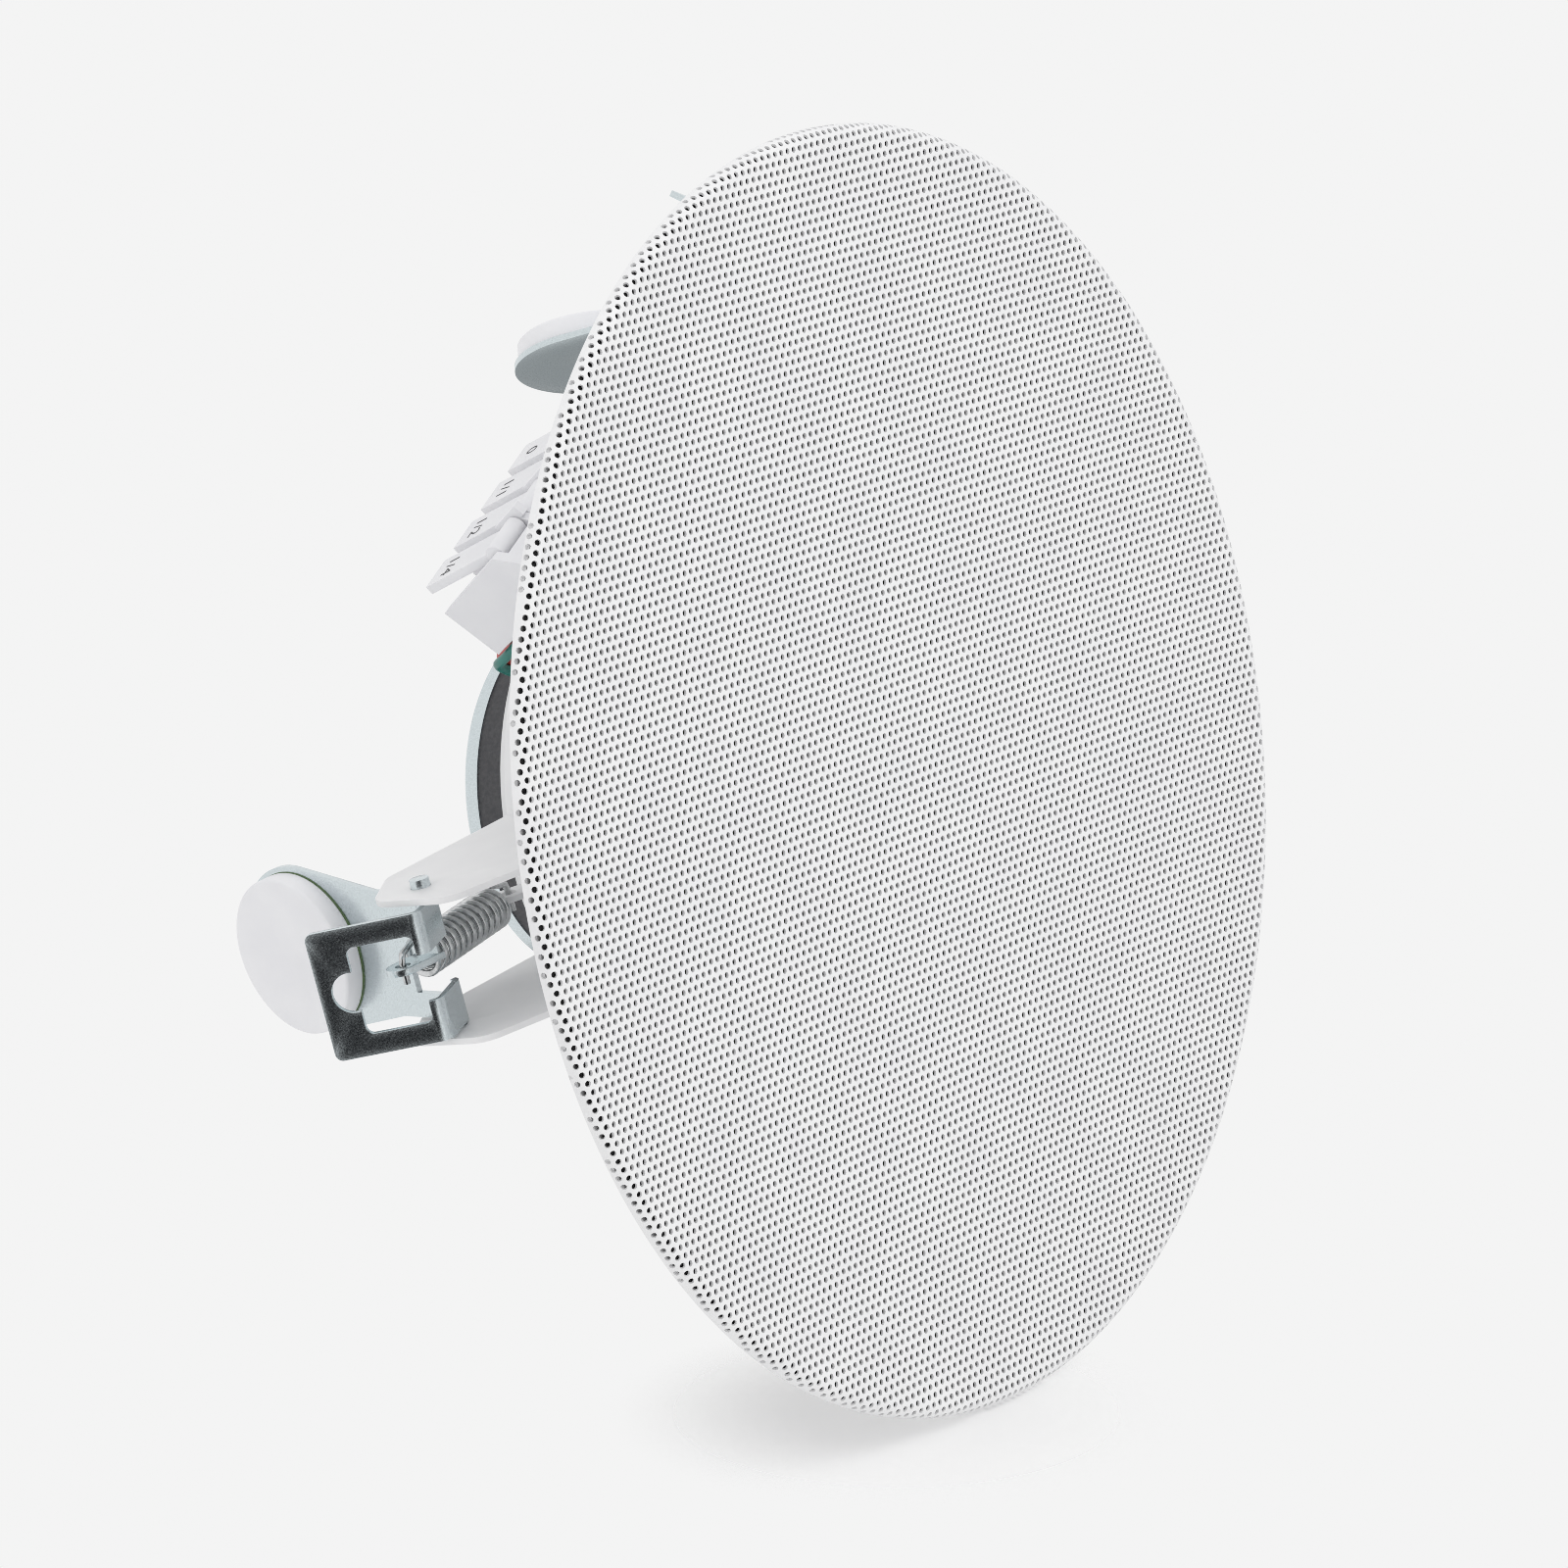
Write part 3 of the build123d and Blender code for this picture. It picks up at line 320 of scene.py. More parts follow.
MATERIALS = {
    "white_metal": make_material(
        "white_paint", (0.875, 0.875, 0.88), (0.845, 0.845, 0.855), 90, (0.42, 0.5), bump_grain=3000
    ),
    "white_plastic": make_material(
        "white_plastic", (0.875, 0.875, 0.895), (0.845, 0.845, 0.87), 140, (0.42, 0.52), bump_grain=1800
    ),
    "black_cloth": make_material(
        "black_cloth", (0.012, 0.012, 0.013), (0.02, 0.02, 0.021), 900, (0.85, 0.95),
        bump=0.6, depth=0.1 * MM,
    ),
    "dark_rubber": make_material(
        "dark_rubber", (0.022, 0.022, 0.023), (0.035, 0.035, 0.036), 300, (0.6, 0.75), bump=0.2
    ),
    "cone_paper": make_material(
        "cone_paper", (0.05, 0.05, 0.052), (0.08, 0.078, 0.075), 700, (0.75, 0.9),
        bump=0.5, depth=0.1 * MM,
    ),
    "winding_wire": make_material(
        "winding_wire", (0.5, 0.2, 0.08), (0.62, 0.3, 0.12), 1500, (0.25, 0.4), metallic=0.9, bump=0.4
    ),
    "spider_cloth": make_material(
        "spider_cloth", (0.5, 0.36, 0.15), (0.62, 0.48, 0.24), 1200, (0.8, 0.95),
        bump=0.6, depth=0.1 * MM,
    ),
    "zinc": make_material(
        "zinc_plate", (0.70, 0.765, 0.785), (0.62, 0.68, 0.70), 3600, (0.18, 0.28), metallic=1.0,
        bump_grain=4200, bump=0.6, depth=0.03 * MM,
    ),
    "spring_steel": make_material(
        "spring_steel", (0.70, 0.71, 0.715), (0.48, 0.49, 0.495), 900, (0.12, 0.2), metallic=1.0
    ),
    "ferrite": make_material(
        "ferrite", (0.06, 0.06, 0.066), (0.095, 0.095, 0.1), 1400, (0.6, 0.8), bump=0.5, depth=0.1 * MM
    ),
    "core_steel": make_material(
        "core_steel", (0.22, 0.225, 0.24), (0.34, 0.345, 0.36), 700, (0.35, 0.55), metallic=0.9, bump=0.3
    ),
    "winding_tape": make_material(
        "winding_tape", (0.72, 0.55, 0.12), (0.62, 0.46, 0.1), 260, (0.3, 0.45), bump=0.25
    ),
    "tag_board": make_material(
        "tag_board", (0.24, 0.14, 0.07), (0.33, 0.21, 0.11), 800, (0.6, 0.75), bump=0.3
    ),
    "tinned_brass": make_material(
        "tinned_brass", (0.68, 0.67, 0.63), (0.55, 0.52, 0.45), 900, (0.25, 0.4), metallic=1.0, bump=0.2
    ),
    "lead_red": make_material("lead_red", (0.45, 0.03, 0.025), (0.52, 0.05, 0.04), 400, (0.35, 0.45)),
    "lead_teal": make_material("lead_teal", (0.01, 0.16, 0.13), (0.02, 0.22, 0.18), 400, (0.35, 0.45)),
    "lead_white": make_material("lead_white", (0.78, 0.78, 0.78), (0.7, 0.7, 0.7), 400, (0.35, 0.45)),
    "lead_black": make_material(
        "lead_black", (0.015, 0.015, 0.016), (0.03, 0.03, 0.03), 400, (0.35, 0.45)
    ),
}
MARK_INK = make_material("mark_ink", (0.03, 0.03, 0.035), (0.06, 0.06, 0.065), 900, (0.5, 0.6))
# Painted shade: the dark green of the shadow line along a pad's foot
PAD_FOOT_SHADE = make_material("pad_foot_shade", (0.09, 0.15, 0.06), (0.13, 0.2, 0.09), 900, (0.5, 0.7))
GLUE_YELLOW = make_material("adhesive", (0.33, 0.24, 0.05), (0.42, 0.32, 0.09), 1500, (0.3, 0.5), bump=0.4)


def slot_of(node):
    return next(s["material_slot"] for s in frame["record"]["subparts"] if s["node"] == node)


for node_name, node_object in frame["nodes"].items():
    node_object.data.materials.clear()
    node_object.data.materials.append(MATERIALS[slot_of(node_name)])


def finish_mesh(name, mesh, slot, crease):
    """An object for a mesh; edges sharper than the crease angle stay crisp."""
    mesh.validate()
    mesh.update()
    mesh.shade_smooth()
    mesh.set_sharp_from_angle(angle=math.radians(crease))
    obj = bpy.data.objects.new(name, mesh)
    scene.collection.objects.link(obj)
    mesh.materials.append(MATERIALS[slot])
    return obj


def mesh_object(name, points, faces, slot, crease):
    mesh = bpy.data.meshes.new(name)
    mesh.from_pydata(points, [], faces)
    return finish_mesh(name, mesh, slot, crease)


def triangle_mesh(name, points, triangles):
    """A mesh from arrays of points and triangles, for pieces with very many faces."""
    mesh = bpy.data.meshes.new(name)
    mesh.vertices.add(len(points))
    mesh.vertices.foreach_set("co", points.astype(np.float32).ravel())
    mesh.loops.add(3 * len(triangles))
    mesh.loops.foreach_set("vertex_index", triangles.astype(np.int32).ravel())
    mesh.polygons.add(len(triangles))
    mesh.polygons.foreach_set("loop_start", np.arange(0, 3 * len(triangles), 3, dtype=np.int32))
    mesh.update(calc_edges=True)
    return mesh


# Perforated grille
FACE_R = GRILLE_R - GRILLE_CORNER
DISH_R = (FACE_R**2 + GRILLE_DISH**2) / (2 * GRILLE_DISH)
DISH_CENTRE_Z = GRILLE_DISH - GRILLE_DEPTH - DISH_R
DISH_RUN = DISH_R * math.asin(FACE_R / DISH_R)
CORNER_RUN = GRILLE_CORNER * math.pi / 2
SHEET_RUN = DISH_RUN + CORNER_RUN + GRILLE_LIP


def formed(flat, inset):
    """Places points of the flat sheet on the formed grille, inset from its outer face."""
    run = np.hypot(flat[:, 0], flat[:, 1])
    way = flat / np.maximum(run, TINY_RUN)[:, None]
    dish_turn = np.minimum(run, DISH_RUN) / DISH_R
    radius = (DISH_R + inset) * np.sin(dish_turn)
    height = DISH_CENTRE_Z + (DISH_R + inset) * np.cos(dish_turn)
    corner_turn = np.clip((run - DISH_RUN) / GRILLE_CORNER, 0, math.pi / 2)
    on_corner = run > DISH_RUN
    corner_radius = FACE_R + (GRILLE_CORNER - inset) * np.sin(corner_turn)
    corner_height = GRILLE_CORNER - GRILLE_DEPTH - (GRILLE_CORNER - inset) * np.cos(corner_turn)
    radius = np.where(on_corner, corner_radius, radius)
    height = np.where(on_corner, corner_height, height)
    height = height + np.clip(run - DISH_RUN - CORNER_RUN, 0, None)
    return np.column_stack([way * radius[:, None], height])


def unit_circle(angles):
    return np.column_stack([np.cos(angles), np.sin(angles)])


def turned(flat):
    """Points of the pattern turned to the direction of its rows."""
    c, s = math.cos(ROW_TURN), math.sin(ROW_TURN)
    return flat @ np.array([[c, s], [-s, c]])


def cell_template():
    """Triangles between a hexagon's corners, which come first, and the hole's corners."""
    outer = [HEX_TURN + 360 * k / HEX_SIDES for k in range(HEX_SIDES)]
    inner = [360 * (k + 0.5) / HOLE_SIDES for k in range(HOLE_SIDES)]
    triangles = []
    i = j = 0
    while i < HEX_SIDES or j < HOLE_SIDES:
        next_outer = outer[i + 1] if i + 1 < HEX_SIDES else outer[0] + 360
        next_inner = inner[j + 1] if j + 1 < HOLE_SIDES else inner[0] + 360
        corner, edge = i % HEX_SIDES, HEX_SIDES + j % HOLE_SIDES
        if j >= HOLE_SIDES or (i < HEX_SIDES and next_outer <= next_inner):
            triangles.append((corner, (i + 1) % HEX_SIDES, edge))
            i += 1
        else:
            triangles.append((corner, HEX_SIDES + (j + 1) % HOLE_SIDES, edge))
            j += 1
    return np.array(triangles)


def lattice():
    """Centres of the hexagonal pattern out to the sheet's edge, in the flat sheet."""
    reach = int(SHEET_RUN / (HOLE_PITCH * math.sqrt(3) / 2)) + 2
    rows, columns = np.mgrid[-reach:reach + 1, -2 * reach:2 * reach + 1]
    across = (columns + 0.5 * (rows % 2)) * HOLE_PITCH
    along = rows * HOLE_PITCH * math.sqrt(3) / 2
    centres = turned(np.column_stack([across.ravel(), along.ravel()])) + np.array(PATTERN_START)
    return centres[np.hypot(*centres.T) < SHEET_RUN + HOLE_PITCH]


def grille_sector(centres, name):
    """A share of the sheet: holed cells, plain cells at the edge, and the walls of holes and outline."""
    corner_angle = np.radians(HEX_TURN + 360 / HEX_SIDES * np.arange(HEX_SIDES))
    hexagon = turned(HOLE_PITCH / math.sqrt(3) * unit_circle(corner_angle))
    corners = centres[:, None, :] + hexagon[None, :, :]
    keys = np.round(corners.reshape(-1, 2) / CORNER_STEP).astype(np.int64)
    _, first, index = np.unique(keys, axis=0, return_index=True, return_inverse=True)
    index = index.reshape(-1, HEX_SIDES)
    corner_points = corners.reshape(-1, 2)[first]
    run = np.hypot(*corner_points.T)
    corner_points = corner_points * np.minimum(1, SHEET_RUN / np.maximum(run, TINY_RUN))[:, None]
    inside = (run < SHEET_RUN)[index].any(axis=1)
    holed = np.hypot(*centres.T) < SHEET_RUN - HOLE_EDGE
    hole_angle = 2 * math.pi * (np.arange(HOLE_SIDES) + 0.5) / HOLE_SIDES
    circle = turned(HOLE_R * unit_circle(hole_angle))
    holes = (centres[holed][:, None, :] + circle[None, :, :]).reshape(-1, 2)
    flat = np.vstack([corner_points, holes])
    count = len(flat)
    hole_start = len(corner_points) + HOLE_SIDES * np.arange(holed.sum())
    ring = hole_start[:, None] + np.arange(HOLE_SIDES)[None, :]
    cell = np.column_stack([index[holed], ring])
    plain = index[inside & ~holed]
    front = np.vstack(
        [cell[:, cell_template()].reshape(-1, 3)]
        + [plain[:, [0, k, k + 1]] for k in range(1, HEX_SIDES - 1)]
    )
    area = flat[front]
    side_1, side_2 = area[:, 1] - area[:, 0], area[:, 2] - area[:, 0]
    size = np.abs(side_1[:, 0] * side_2[:, 1] - side_1[:, 1] * side_2[:, 0])
    front = front[size > TINY_AREA]
    hole_rim = np.column_stack([ring.ravel(), np.roll(ring, -1, axis=1).ravel()])
    edges = np.vstack([front[:, [0, 1]], front[:, [1, 2]], front[:, [2, 0]]])
    low_high = np.sort(edges, axis=1)
    code = low_high[:, 0] * count + low_high[:, 1]
    _, where, times = np.unique(code, return_index=True, return_counts=True)
    outline = edges[where[times == 1]]
    outline = outline[(outline < len(corner_points)).all(axis=1)]
    rim = np.vstack([hole_rim, outline[:, ::-1]])
    walls = np.vstack([
        np.column_stack([rim[:, 0], rim[:, 1], rim[:, 1] + count]),
        np.column_stack([rim[:, 0], rim[:, 1] + count, rim[:, 0] + count]),
    ])
    triangles = np.vstack([front[:, ::-1], front + count, walls])
    points = np.vstack([formed(flat, 0.0), formed(flat, GRILLE_SHEET)])
    obj = finish_mesh(name, triangle_mesh(name, points, triangles), "white_metal", GRILLE_CREASE)
    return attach(obj, "frame")


cell_centres = lattice()
cell_share = np.arctan2(cell_centres[:, 1], cell_centres[:, 0]) / (2 * math.pi) + 0.5
sector_of = np.floor(cell_share * GRILLE_SECTORS) % GRILLE_SECTORS
for sector in range(GRILLE_SECTORS):
    piece = grille_sector(cell_centres[sector_of == sector], f"grille_sheet_{sector + 1}")
    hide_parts("grille")

# Cloth stretched behind the grille
CLOTH_R = DISH_RUN + CLOTH_TUCK
ring_runs = np.linspace(0, CLOTH_R, CLOTH_RINGS + 1)[1:]
spokes = unit_circle(2 * math.pi * np.arange(CLOTH_SPOKES) / CLOTH_SPOKES)
cloth_flat = np.vstack([[[0.0, 0.0]]] + [run * spokes for run in ring_runs])
cloth_front = formed(cloth_flat, GRILLE_SHEET + CLOTH_GAP)
cloth_back = formed(cloth_flat, GRILLE_SHEET + CLOTH_GAP + CLOTH_SHEET)
cloth_points = np.vstack([cloth_front, cloth_back]).tolist()
cloth_faces = []
back = len(cloth_flat)
for k in range(CLOTH_SPOKES):
    after = (k + 1) % CLOTH_SPOKES
    cloth_faces.append((0, 1 + after, 1 + k))
    cloth_faces.append((back, back + 1 + k, back + 1 + after))
    for ring in range(CLOTH_RINGS - 1):
        a, b = 1 + ring * CLOTH_SPOKES, 1 + (ring + 1) * CLOTH_SPOKES
        cloth_faces.append((a + k, a + after, b + after, b + k))
        cloth_faces.append((back + a + k, back + b + k, back + b + after, back + a + after))
    edge = 1 + (CLOTH_RINGS - 1) * CLOTH_SPOKES
    cloth_faces.append((edge + k, edge + after, back + edge + after, back + edge + k))
cloth = mesh_object("speaker_cloth", cloth_points, cloth_faces, "black_cloth", CLOTH_CREASE)
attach(cloth, "frame")
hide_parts("grille_cloth")

# Places on the basket wall and in a radial section
WALL_UP = (WALL_BACK - WALL_FRONT).normalized()
WALL_OUT = Vector((WALL_UP.y, -WALL_UP.x))


def section_point(angle, radius, height, side=0.0):
    turn = math.radians(angle)
    outward = Vector((math.cos(turn), math.sin(turn), 0))
    sideways = Vector((math.sin(turn), -math.cos(turn), 0))
    return outward * radius + sideways * side + Vector((0, 0, height))


def wall_place(angle, along, lift, side=0.0):
    spot = WALL_FRONT + WALL_UP * along + WALL_OUT * lift
    return section_point(angle, spot.x, spot.y, side)


def axes_at(x, y, z, place):
    """A transform with these axes at a place."""
    return Matrix((
        (x.x, y.x, z.x, place.x),
        (x.y, y.y, z.y, place.y),
        (x.z, y.z, z.z, place.z),
        (0, 0, 0, 1),
    ))


def swept_tube(name, path, radius, slot):
    """A round wire along a line of points, with closed ends."""
    points, faces = [], []
    last = len(path) - 1
    normal = None
    for k, point in enumerate(path):
        ahead = path[min(k + 1, last)] - path[max(k - 1, 0)]
        ahead.normalize()
        if normal is None:
            normal = ahead.orthogonal().normalized()
        normal = (normal - ahead * normal.dot(ahead)).normalized()
        other = ahead.cross(normal)
        for side in range(WIRE_SIDES):
            turn = 2 * math.pi * side / WIRE_SIDES
            points.append(point + (normal * math.cos(turn) + other * math.sin(turn)) * radius)
    for k in range(last):
        a, b = k * WIRE_SIDES, (k + 1) * WIRE_SIDES
        for side in range(WIRE_SIDES):
            after = (side + 1) % WIRE_SIDES
            faces.append((a + side, a + after, b + after, b + side))
    faces.append(tuple(reversed(range(WIRE_SIDES))))
    faces.append(tuple(last * WIRE_SIDES + side for side in range(WIRE_SIDES)))
    return mesh_object(name, points, faces, slot, WIRE_CREASE)


# Clip springs: close turns with a hook through the anchor and one through the flap's lug
ANCHOR = WALL_FRONT + WALL_UP * ANCHOR_ALONG + WALL_OUT * ANCHOR_UP
LUG_TURN = math.atan2(HINGE.y - ANCHOR.y, HINGE.x - ANCHOR.x) + FLAP_OPEN / 2
LUG = HINGE + Vector((math.cos(LUG_TURN), math.sin(LUG_TURN))) * LUG_ARM
COIL_R = SPRING_R - SPRING_WIRE / 2


def hook_points(eye, side, inward):
    """A hook from its tip through the eye toward the turns, which start one inward step away."""
    points = [eye - side * share * HOOK_HALF + inward * reach for share, reach in HOOK_BEND]
    points.append(eye - side * HOOK_JOIN[0] * COIL_R + inward * HOOK_JOIN[1])
    return points


def spring_path(angle):
    start = section_point(angle, ANCHOR.x, ANCHOR.y)
    end = section_point(angle, LUG.x, LUG.y)
    side = section_point(angle, 0, 0, 1.0)
    along = (end - start).normalized()
    up = side.cross(along)
    first, last = SPRING_ANCHOR_HOOK, (end - start).length - SPRING_LUG_HOOK
    path = hook_points(start, side, along * SPRING_ANCHOR_HOOK)
    steps = SPRING_TURNS * SPRING_STEPS
    for k in range(steps + 1):
        turn = 2 * math.pi * k / SPRING_STEPS
        place = start + along * (first + (last - first) * k / steps)
        path.append(place + (-side * math.cos(turn) + up * math.sin(turn)) * COIL_R)
    path += reversed(hook_points(end, side, -along * SPRING_LUG_HOOK))
    return path


for number, clip_angle in enumerate(CLIP_ANGLES, start=1):
    spring = swept_tube(f"spring_wire_{number}", spring_path(clip_angle), SPRING_WIRE / 2, "spring_steel")
    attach(spring, f"clip_spring_{number}")
    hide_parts(f"clip_spring_{number}")


def rounded(node, name, body, width, segments):
    """A copy of a solid with its sharp edges rounded, which stands for it."""
    mesh = frame["nodes"][node].data.copy()
    work = bmesh.new()
    work.from_mesh(mesh)
    bmesh.ops.remove_doubles(work, verts=work.verts, dist=WELD)
    bmesh.ops.dissolve_limit(work, angle_limit=FLAT_ANGLE, verts=work.verts, edges=work.edges)
    sharp = [e for e in work.edges if len(e.link_faces) == 2 and e.calc_face_angle() > EDGE_ANGLE]
    bmesh.ops.bevel(
        work, geom=sharp, offset=width, offset_type="OFFSET", segments=segments, profile=0.5,
        affect="EDGES", clamp_overlap=True,
    )
    bmesh.ops.triangulate(work, faces=[f for f in work.faces if len(f.verts) > 4])
    work.to_mesh(mesh)
    work.free()
    mesh.materials.clear()
    obj = finish_mesh(name, mesh, slot_of(node), ROUNDED_CREASE)
    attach(obj, body)
    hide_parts(node)


rounded("terminal_body", "terminal_block", "frame", *BLOCK_ROUND)
for number in range(1, len(TAP_MARKS) + 1):
    rounded(f"terminal_lever_{number}", f"lever_tab_{number}", f"lever_{number}", *LEVER_ROUND)
for number in range(1, len(CLIP_ANGLES) + 1):
    rounded(f"clip_bracket_{number}", f"clip_ears_{number}", "frame", *EAR_ROUND)
    rounded(f"flap_{number}", f"folded_flap_{number}", f"flap_{number}", *FLAP_ROUND)
    rounded(f"pad_{number}", f"round_pad_{number}", f"flap_{number}", *PAD_ROUND)

# Tap marks printed on the levers
wall_foot = wall_place(TERMINAL_ANGLE, 0.0, 0.0)
up_wall = wall_place(TERMINAL_ANGLE, 1.0, 0.0) - wall_foot
out_wall = wall_place(TERMINAL_ANGLE, 0.0, 1.0) - wall_foot
lever_along = up_wall * math.cos(LEVER_RISE) + out_wall * math.sin(LEVER_RISE)
lever_out = out_wall * math.cos(LEVER_RISE) - up_wall * math.sin(LEVER_RISE)
for number, words in enumerate(TAP_MARKS, start=1):
    side = POLE_PITCH * (number - (len(TAP_MARKS) + 1) / 2)
    pivot = wall_place(TERMINAL_ANGLE, *LEVER_PIVOT, side)
    spot = pivot + lever_along * MARK_ALONG + lever_out * (LEVER_THICK / 2)
    text = bpy.data.curves.new(f"mark_{number}", "FONT")
    text.body = words
    text.size = MARK_SIZE
    text.align_x = "CENTER"
    text.align_y = "CENTER"
    text.extrude = MARK_LIFT
    mark = bpy.data.objects.new(f"tap_mark_{number}", text)
    scene.collection.objects.link(mark)
    mark.matrix_world = axes_at(lever_out.cross(lever_along), -lever_along, lever_out, spot)
    text.materials.append(MARK_INK)
    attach(mark, f"lever_{number}")


def turned_strip(name, profile, sector, slot):
    """One sector of a closed profile of radii and heights turned round the axis, open at its two ends."""
    points, faces = [], []
    count = len(profile)
    for step in range(FLEX_STEPS + 1):
        angle = 360 * (sector + step / FLEX_STEPS) / FLEX_SECTORS
        points += [section_point(angle, radius, height) for radius, height in profile]
    for step in range(FLEX_STEPS):
        a, b = step * count, (step + 1) * count
        for k in range(count):
            after = (k + 1) % count
            faces.append((a + k, a + after, b + after, b + k))
    return mesh_object(name, points, faces, slot, FLEX_CREASE)


def flexing_ring(node, profile):
    """A soft ring made of sectors of a turned profile, each baked in place, that stands for the hidden
    solid.
    """
    for sector in range(FLEX_SECTORS):
        strip = turned_strip(f"{node}_{sector + 1}", profile, sector, slot_of(node))
        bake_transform(strip)
        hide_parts(node)


# Rubber surround with a half roll
def roll_points(radius, trim):
    """The roll's section at a radius, without a few steps at each end."""
    turns = [math.pi * k / ROLL_STEPS for k in range(trim, ROLL_STEPS - trim + 1)]
    return [(ROLL_AT - radius * math.cos(turn), SURROUND_Z + radius * math.sin(turn)) for turn in turns]


surround_profile = [
    (SURROUND_INNER, SURROUND_Z),
    *roll_points(ROLL_R, 0),
    (SURROUND_OUTER, SURROUND_Z),
    (SURROUND_OUTER, SURROUND_Z + SURROUND_SHEET),
    *reversed(roll_points(ROLL_R + SURROUND_SHEET, ROLL_TRIM)),
    (SURROUND_INNER, SURROUND_Z + SURROUND_SHEET),
]
flexing_ring("surround", surround_profile)

# Corrugated spider: a line of radii and heights, and the same line one sheet higher
spider_line = [(SPIDER_INNER, SPIDER_Z)]
for k in range(SPIDER_RIDGES * RIPPLE_STEPS + 1):
    dip = SPIDER_RIDGE * (1 - math.cos(2 * math.pi * k / RIPPLE_STEPS)) / 2
    spider_line.append((SPIDER_FIRST + SPIDER_PITCH * k / RIPPLE_STEPS, SPIDER_Z - dip))
spider_line += [(SPIDER_LAND, SPIDER_Z), (SPIDER_OUTER, SPIDER_Z)]
spider_back = [(radius, height + SPIDER_SHEET) for radius, height in reversed(spider_line)]
flexing_ring("spider", spider_line + spider_back)


# Leads
def polar_point(radius, angle):
    turn = math.radians(angle)
    return Vector((radius * math.cos(turn), radius * math.sin(turn), LEAD_Z))


def polar_angle(point):
    return math.degrees(math.atan2(point.y, point.x)) % 360


def circle_points(number, first, last):
    """Corners of a lead's run round the magnet, at equal steps between two angles."""
    steps = max(1, round((last - first) / LEAD_STEP))
    radius = LEAD_INNER_R + LEAD_PITCH * (number - 1)
    return [polar_point(radius, first + (last - first) * step / steps) for step in range(steps + 1)]


def lay_lead(node, points):
    """A round wire on a smooth line with the route's points as its control points."""
    curve = bpy.data.curves.new(node, "CURVE")
    curve.dimensions = "3D"
    spline = curve.splines.new("NURBS")
    spline.points.add(len(points) - 1)
    for control, point in zip(spline.points, points):
        control.co = (*point, 1.0)
    spline.order_u = 3
    spline.use_endpoint_u = True
    lead = bpy.data.objects.new(f"{node}_wire", curve)
    scene.collection.objects.link(lead)
    line = bpy.data.meshes.new_from_object(lead)
    bpy.data.meshes.remove(line)
    curve.bevel_depth = LEAD_R
    curve.bevel_resolution = LEAD_ROUND
    curve.use_fill_caps = True
    curve.materials.append(MATERIALS[slot_of(node)])
    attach(lead, "frame")
    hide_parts(node)


for number, start_side in enumerate(LINE_LEAD_SIDES, start=1):
    tap_side, tap_up = LINE_LEAD_TAPS[number - 1]
    start = wall_place(TERMINAL_ANGLE, LEAD_START_ALONG, -LEAD_UNDER, start_side)
    over = wall_place(TERMINAL_ANGLE, LEAD_OVER_ALONG, -LEAD_UNDER, start_side)
    near = wall_place(TRANSFORMER_ANGLE, LEAD_LEAVE_ALONG, tap_up, tap_side)
    tap = wall_place(TRANSFORMER_ANGLE, WINDING_BACK, tap_up, tap_side)
    cup_angle = polar_angle(over) + LEAD_CUP_TURN
    leave_angle = polar_angle(near) - LEAD_LEAVE_TURN + LEAD_LEAVE_STEP * (2 - number)
    cup = polar_point(LEAD_CUP_R, cup_angle)
    leave = polar_point(LEAD_CUP_R, leave_angle + LEAD_EXIT_TURN)
    ring = circle_points(number, cup_angle + LEAD_EXIT_TURN, leave_angle)
    lay_lead(f"line_lead_{number}", [start, over, cup, *ring, leave, near, tap])
for number, (tap_side, tap_up) in enumerate(DRIVER_LEAD_TAPS, start=1):
    tag_side = TAG_PITCH * (number - (len(DRIVER_LEAD_TAPS) + 1) / 2)
    tap = wall_place(TRANSFORMER_ANGLE, WINDING_BACK, tap_up, tap_side)
    near = wall_place(TRANSFORMER_ANGLE, LEAD_LEAVE_ALONG, tap_up, tap_side)
    over = wall_place(TAG_ANGLE, LEAD_OVER_ALONG, TAG_UP, tag_side)
    end = wall_place(TAG_ANGLE, TAG_ALONG, TAG_UP, tag_side)
    join_angle = polar_angle(near) + LEAD_EXIT_TURN - 360
    leave_angle = polar_angle(over) - LEAD_CUP_TURN
    join = polar_point(LEAD_CUP_R, join_angle)
    leave = polar_point(LEAD_CUP_R, leave_angle)
    ring = circle_points(number, join_angle + LEAD_EXIT_TURN, leave_angle - LEAD_EXIT_TURN)
    lay_lead(f"driver_lead_{number}", [tap, near, join, *ring, leave, over, end])


# Pads: a thin dark green band round the foot that paints the shadow line where pad meets plate, and the
# adhesive seen through the plate
def pad_axes(angle):
    outward = section_point(angle, 1.0, 0)
    up = Vector((0, 0, 1))
    along = up * math.cos(PLATE_TILT) - outward * math.sin(PLATE_TILT)
    face = outward * math.cos(PLATE_TILT) + up * math.sin(PLATE_TILT)
    centre = section_point(angle, HINGE.x, HINGE.y) + along * PAD_ALONG - face * PLATE_FACE
    return axes_at(along, face.cross(along), face, centre)


def pad_detail(name, profile, number, material, slot, sides):
    """A closed profile of radii and heights turned round a pad's own axis."""
    points, faces = [], []
    count = len(profile)
    for step in range(sides):
        turn = 2 * math.pi * step / sides
        points += [(radius * math.cos(turn), radius * math.sin(turn), height) for radius, height in profile]
    for step in range(sides):
        a, b = step * count, (step + 1) % sides * count
        for k in range(count):
            after = (k + 1) % count
            faces.append((a + k, b + k, b + after, a + after))
    obj = mesh_object(f"{name}_{number}", points, faces, slot, TURNED_CREASE)
    obj.data.materials.clear()
    obj.data.materials.append(material)
    obj.matrix_world = pad_axes(CLIP_ANGLES[number - 1])
    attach(obj, f"flap_{number}")
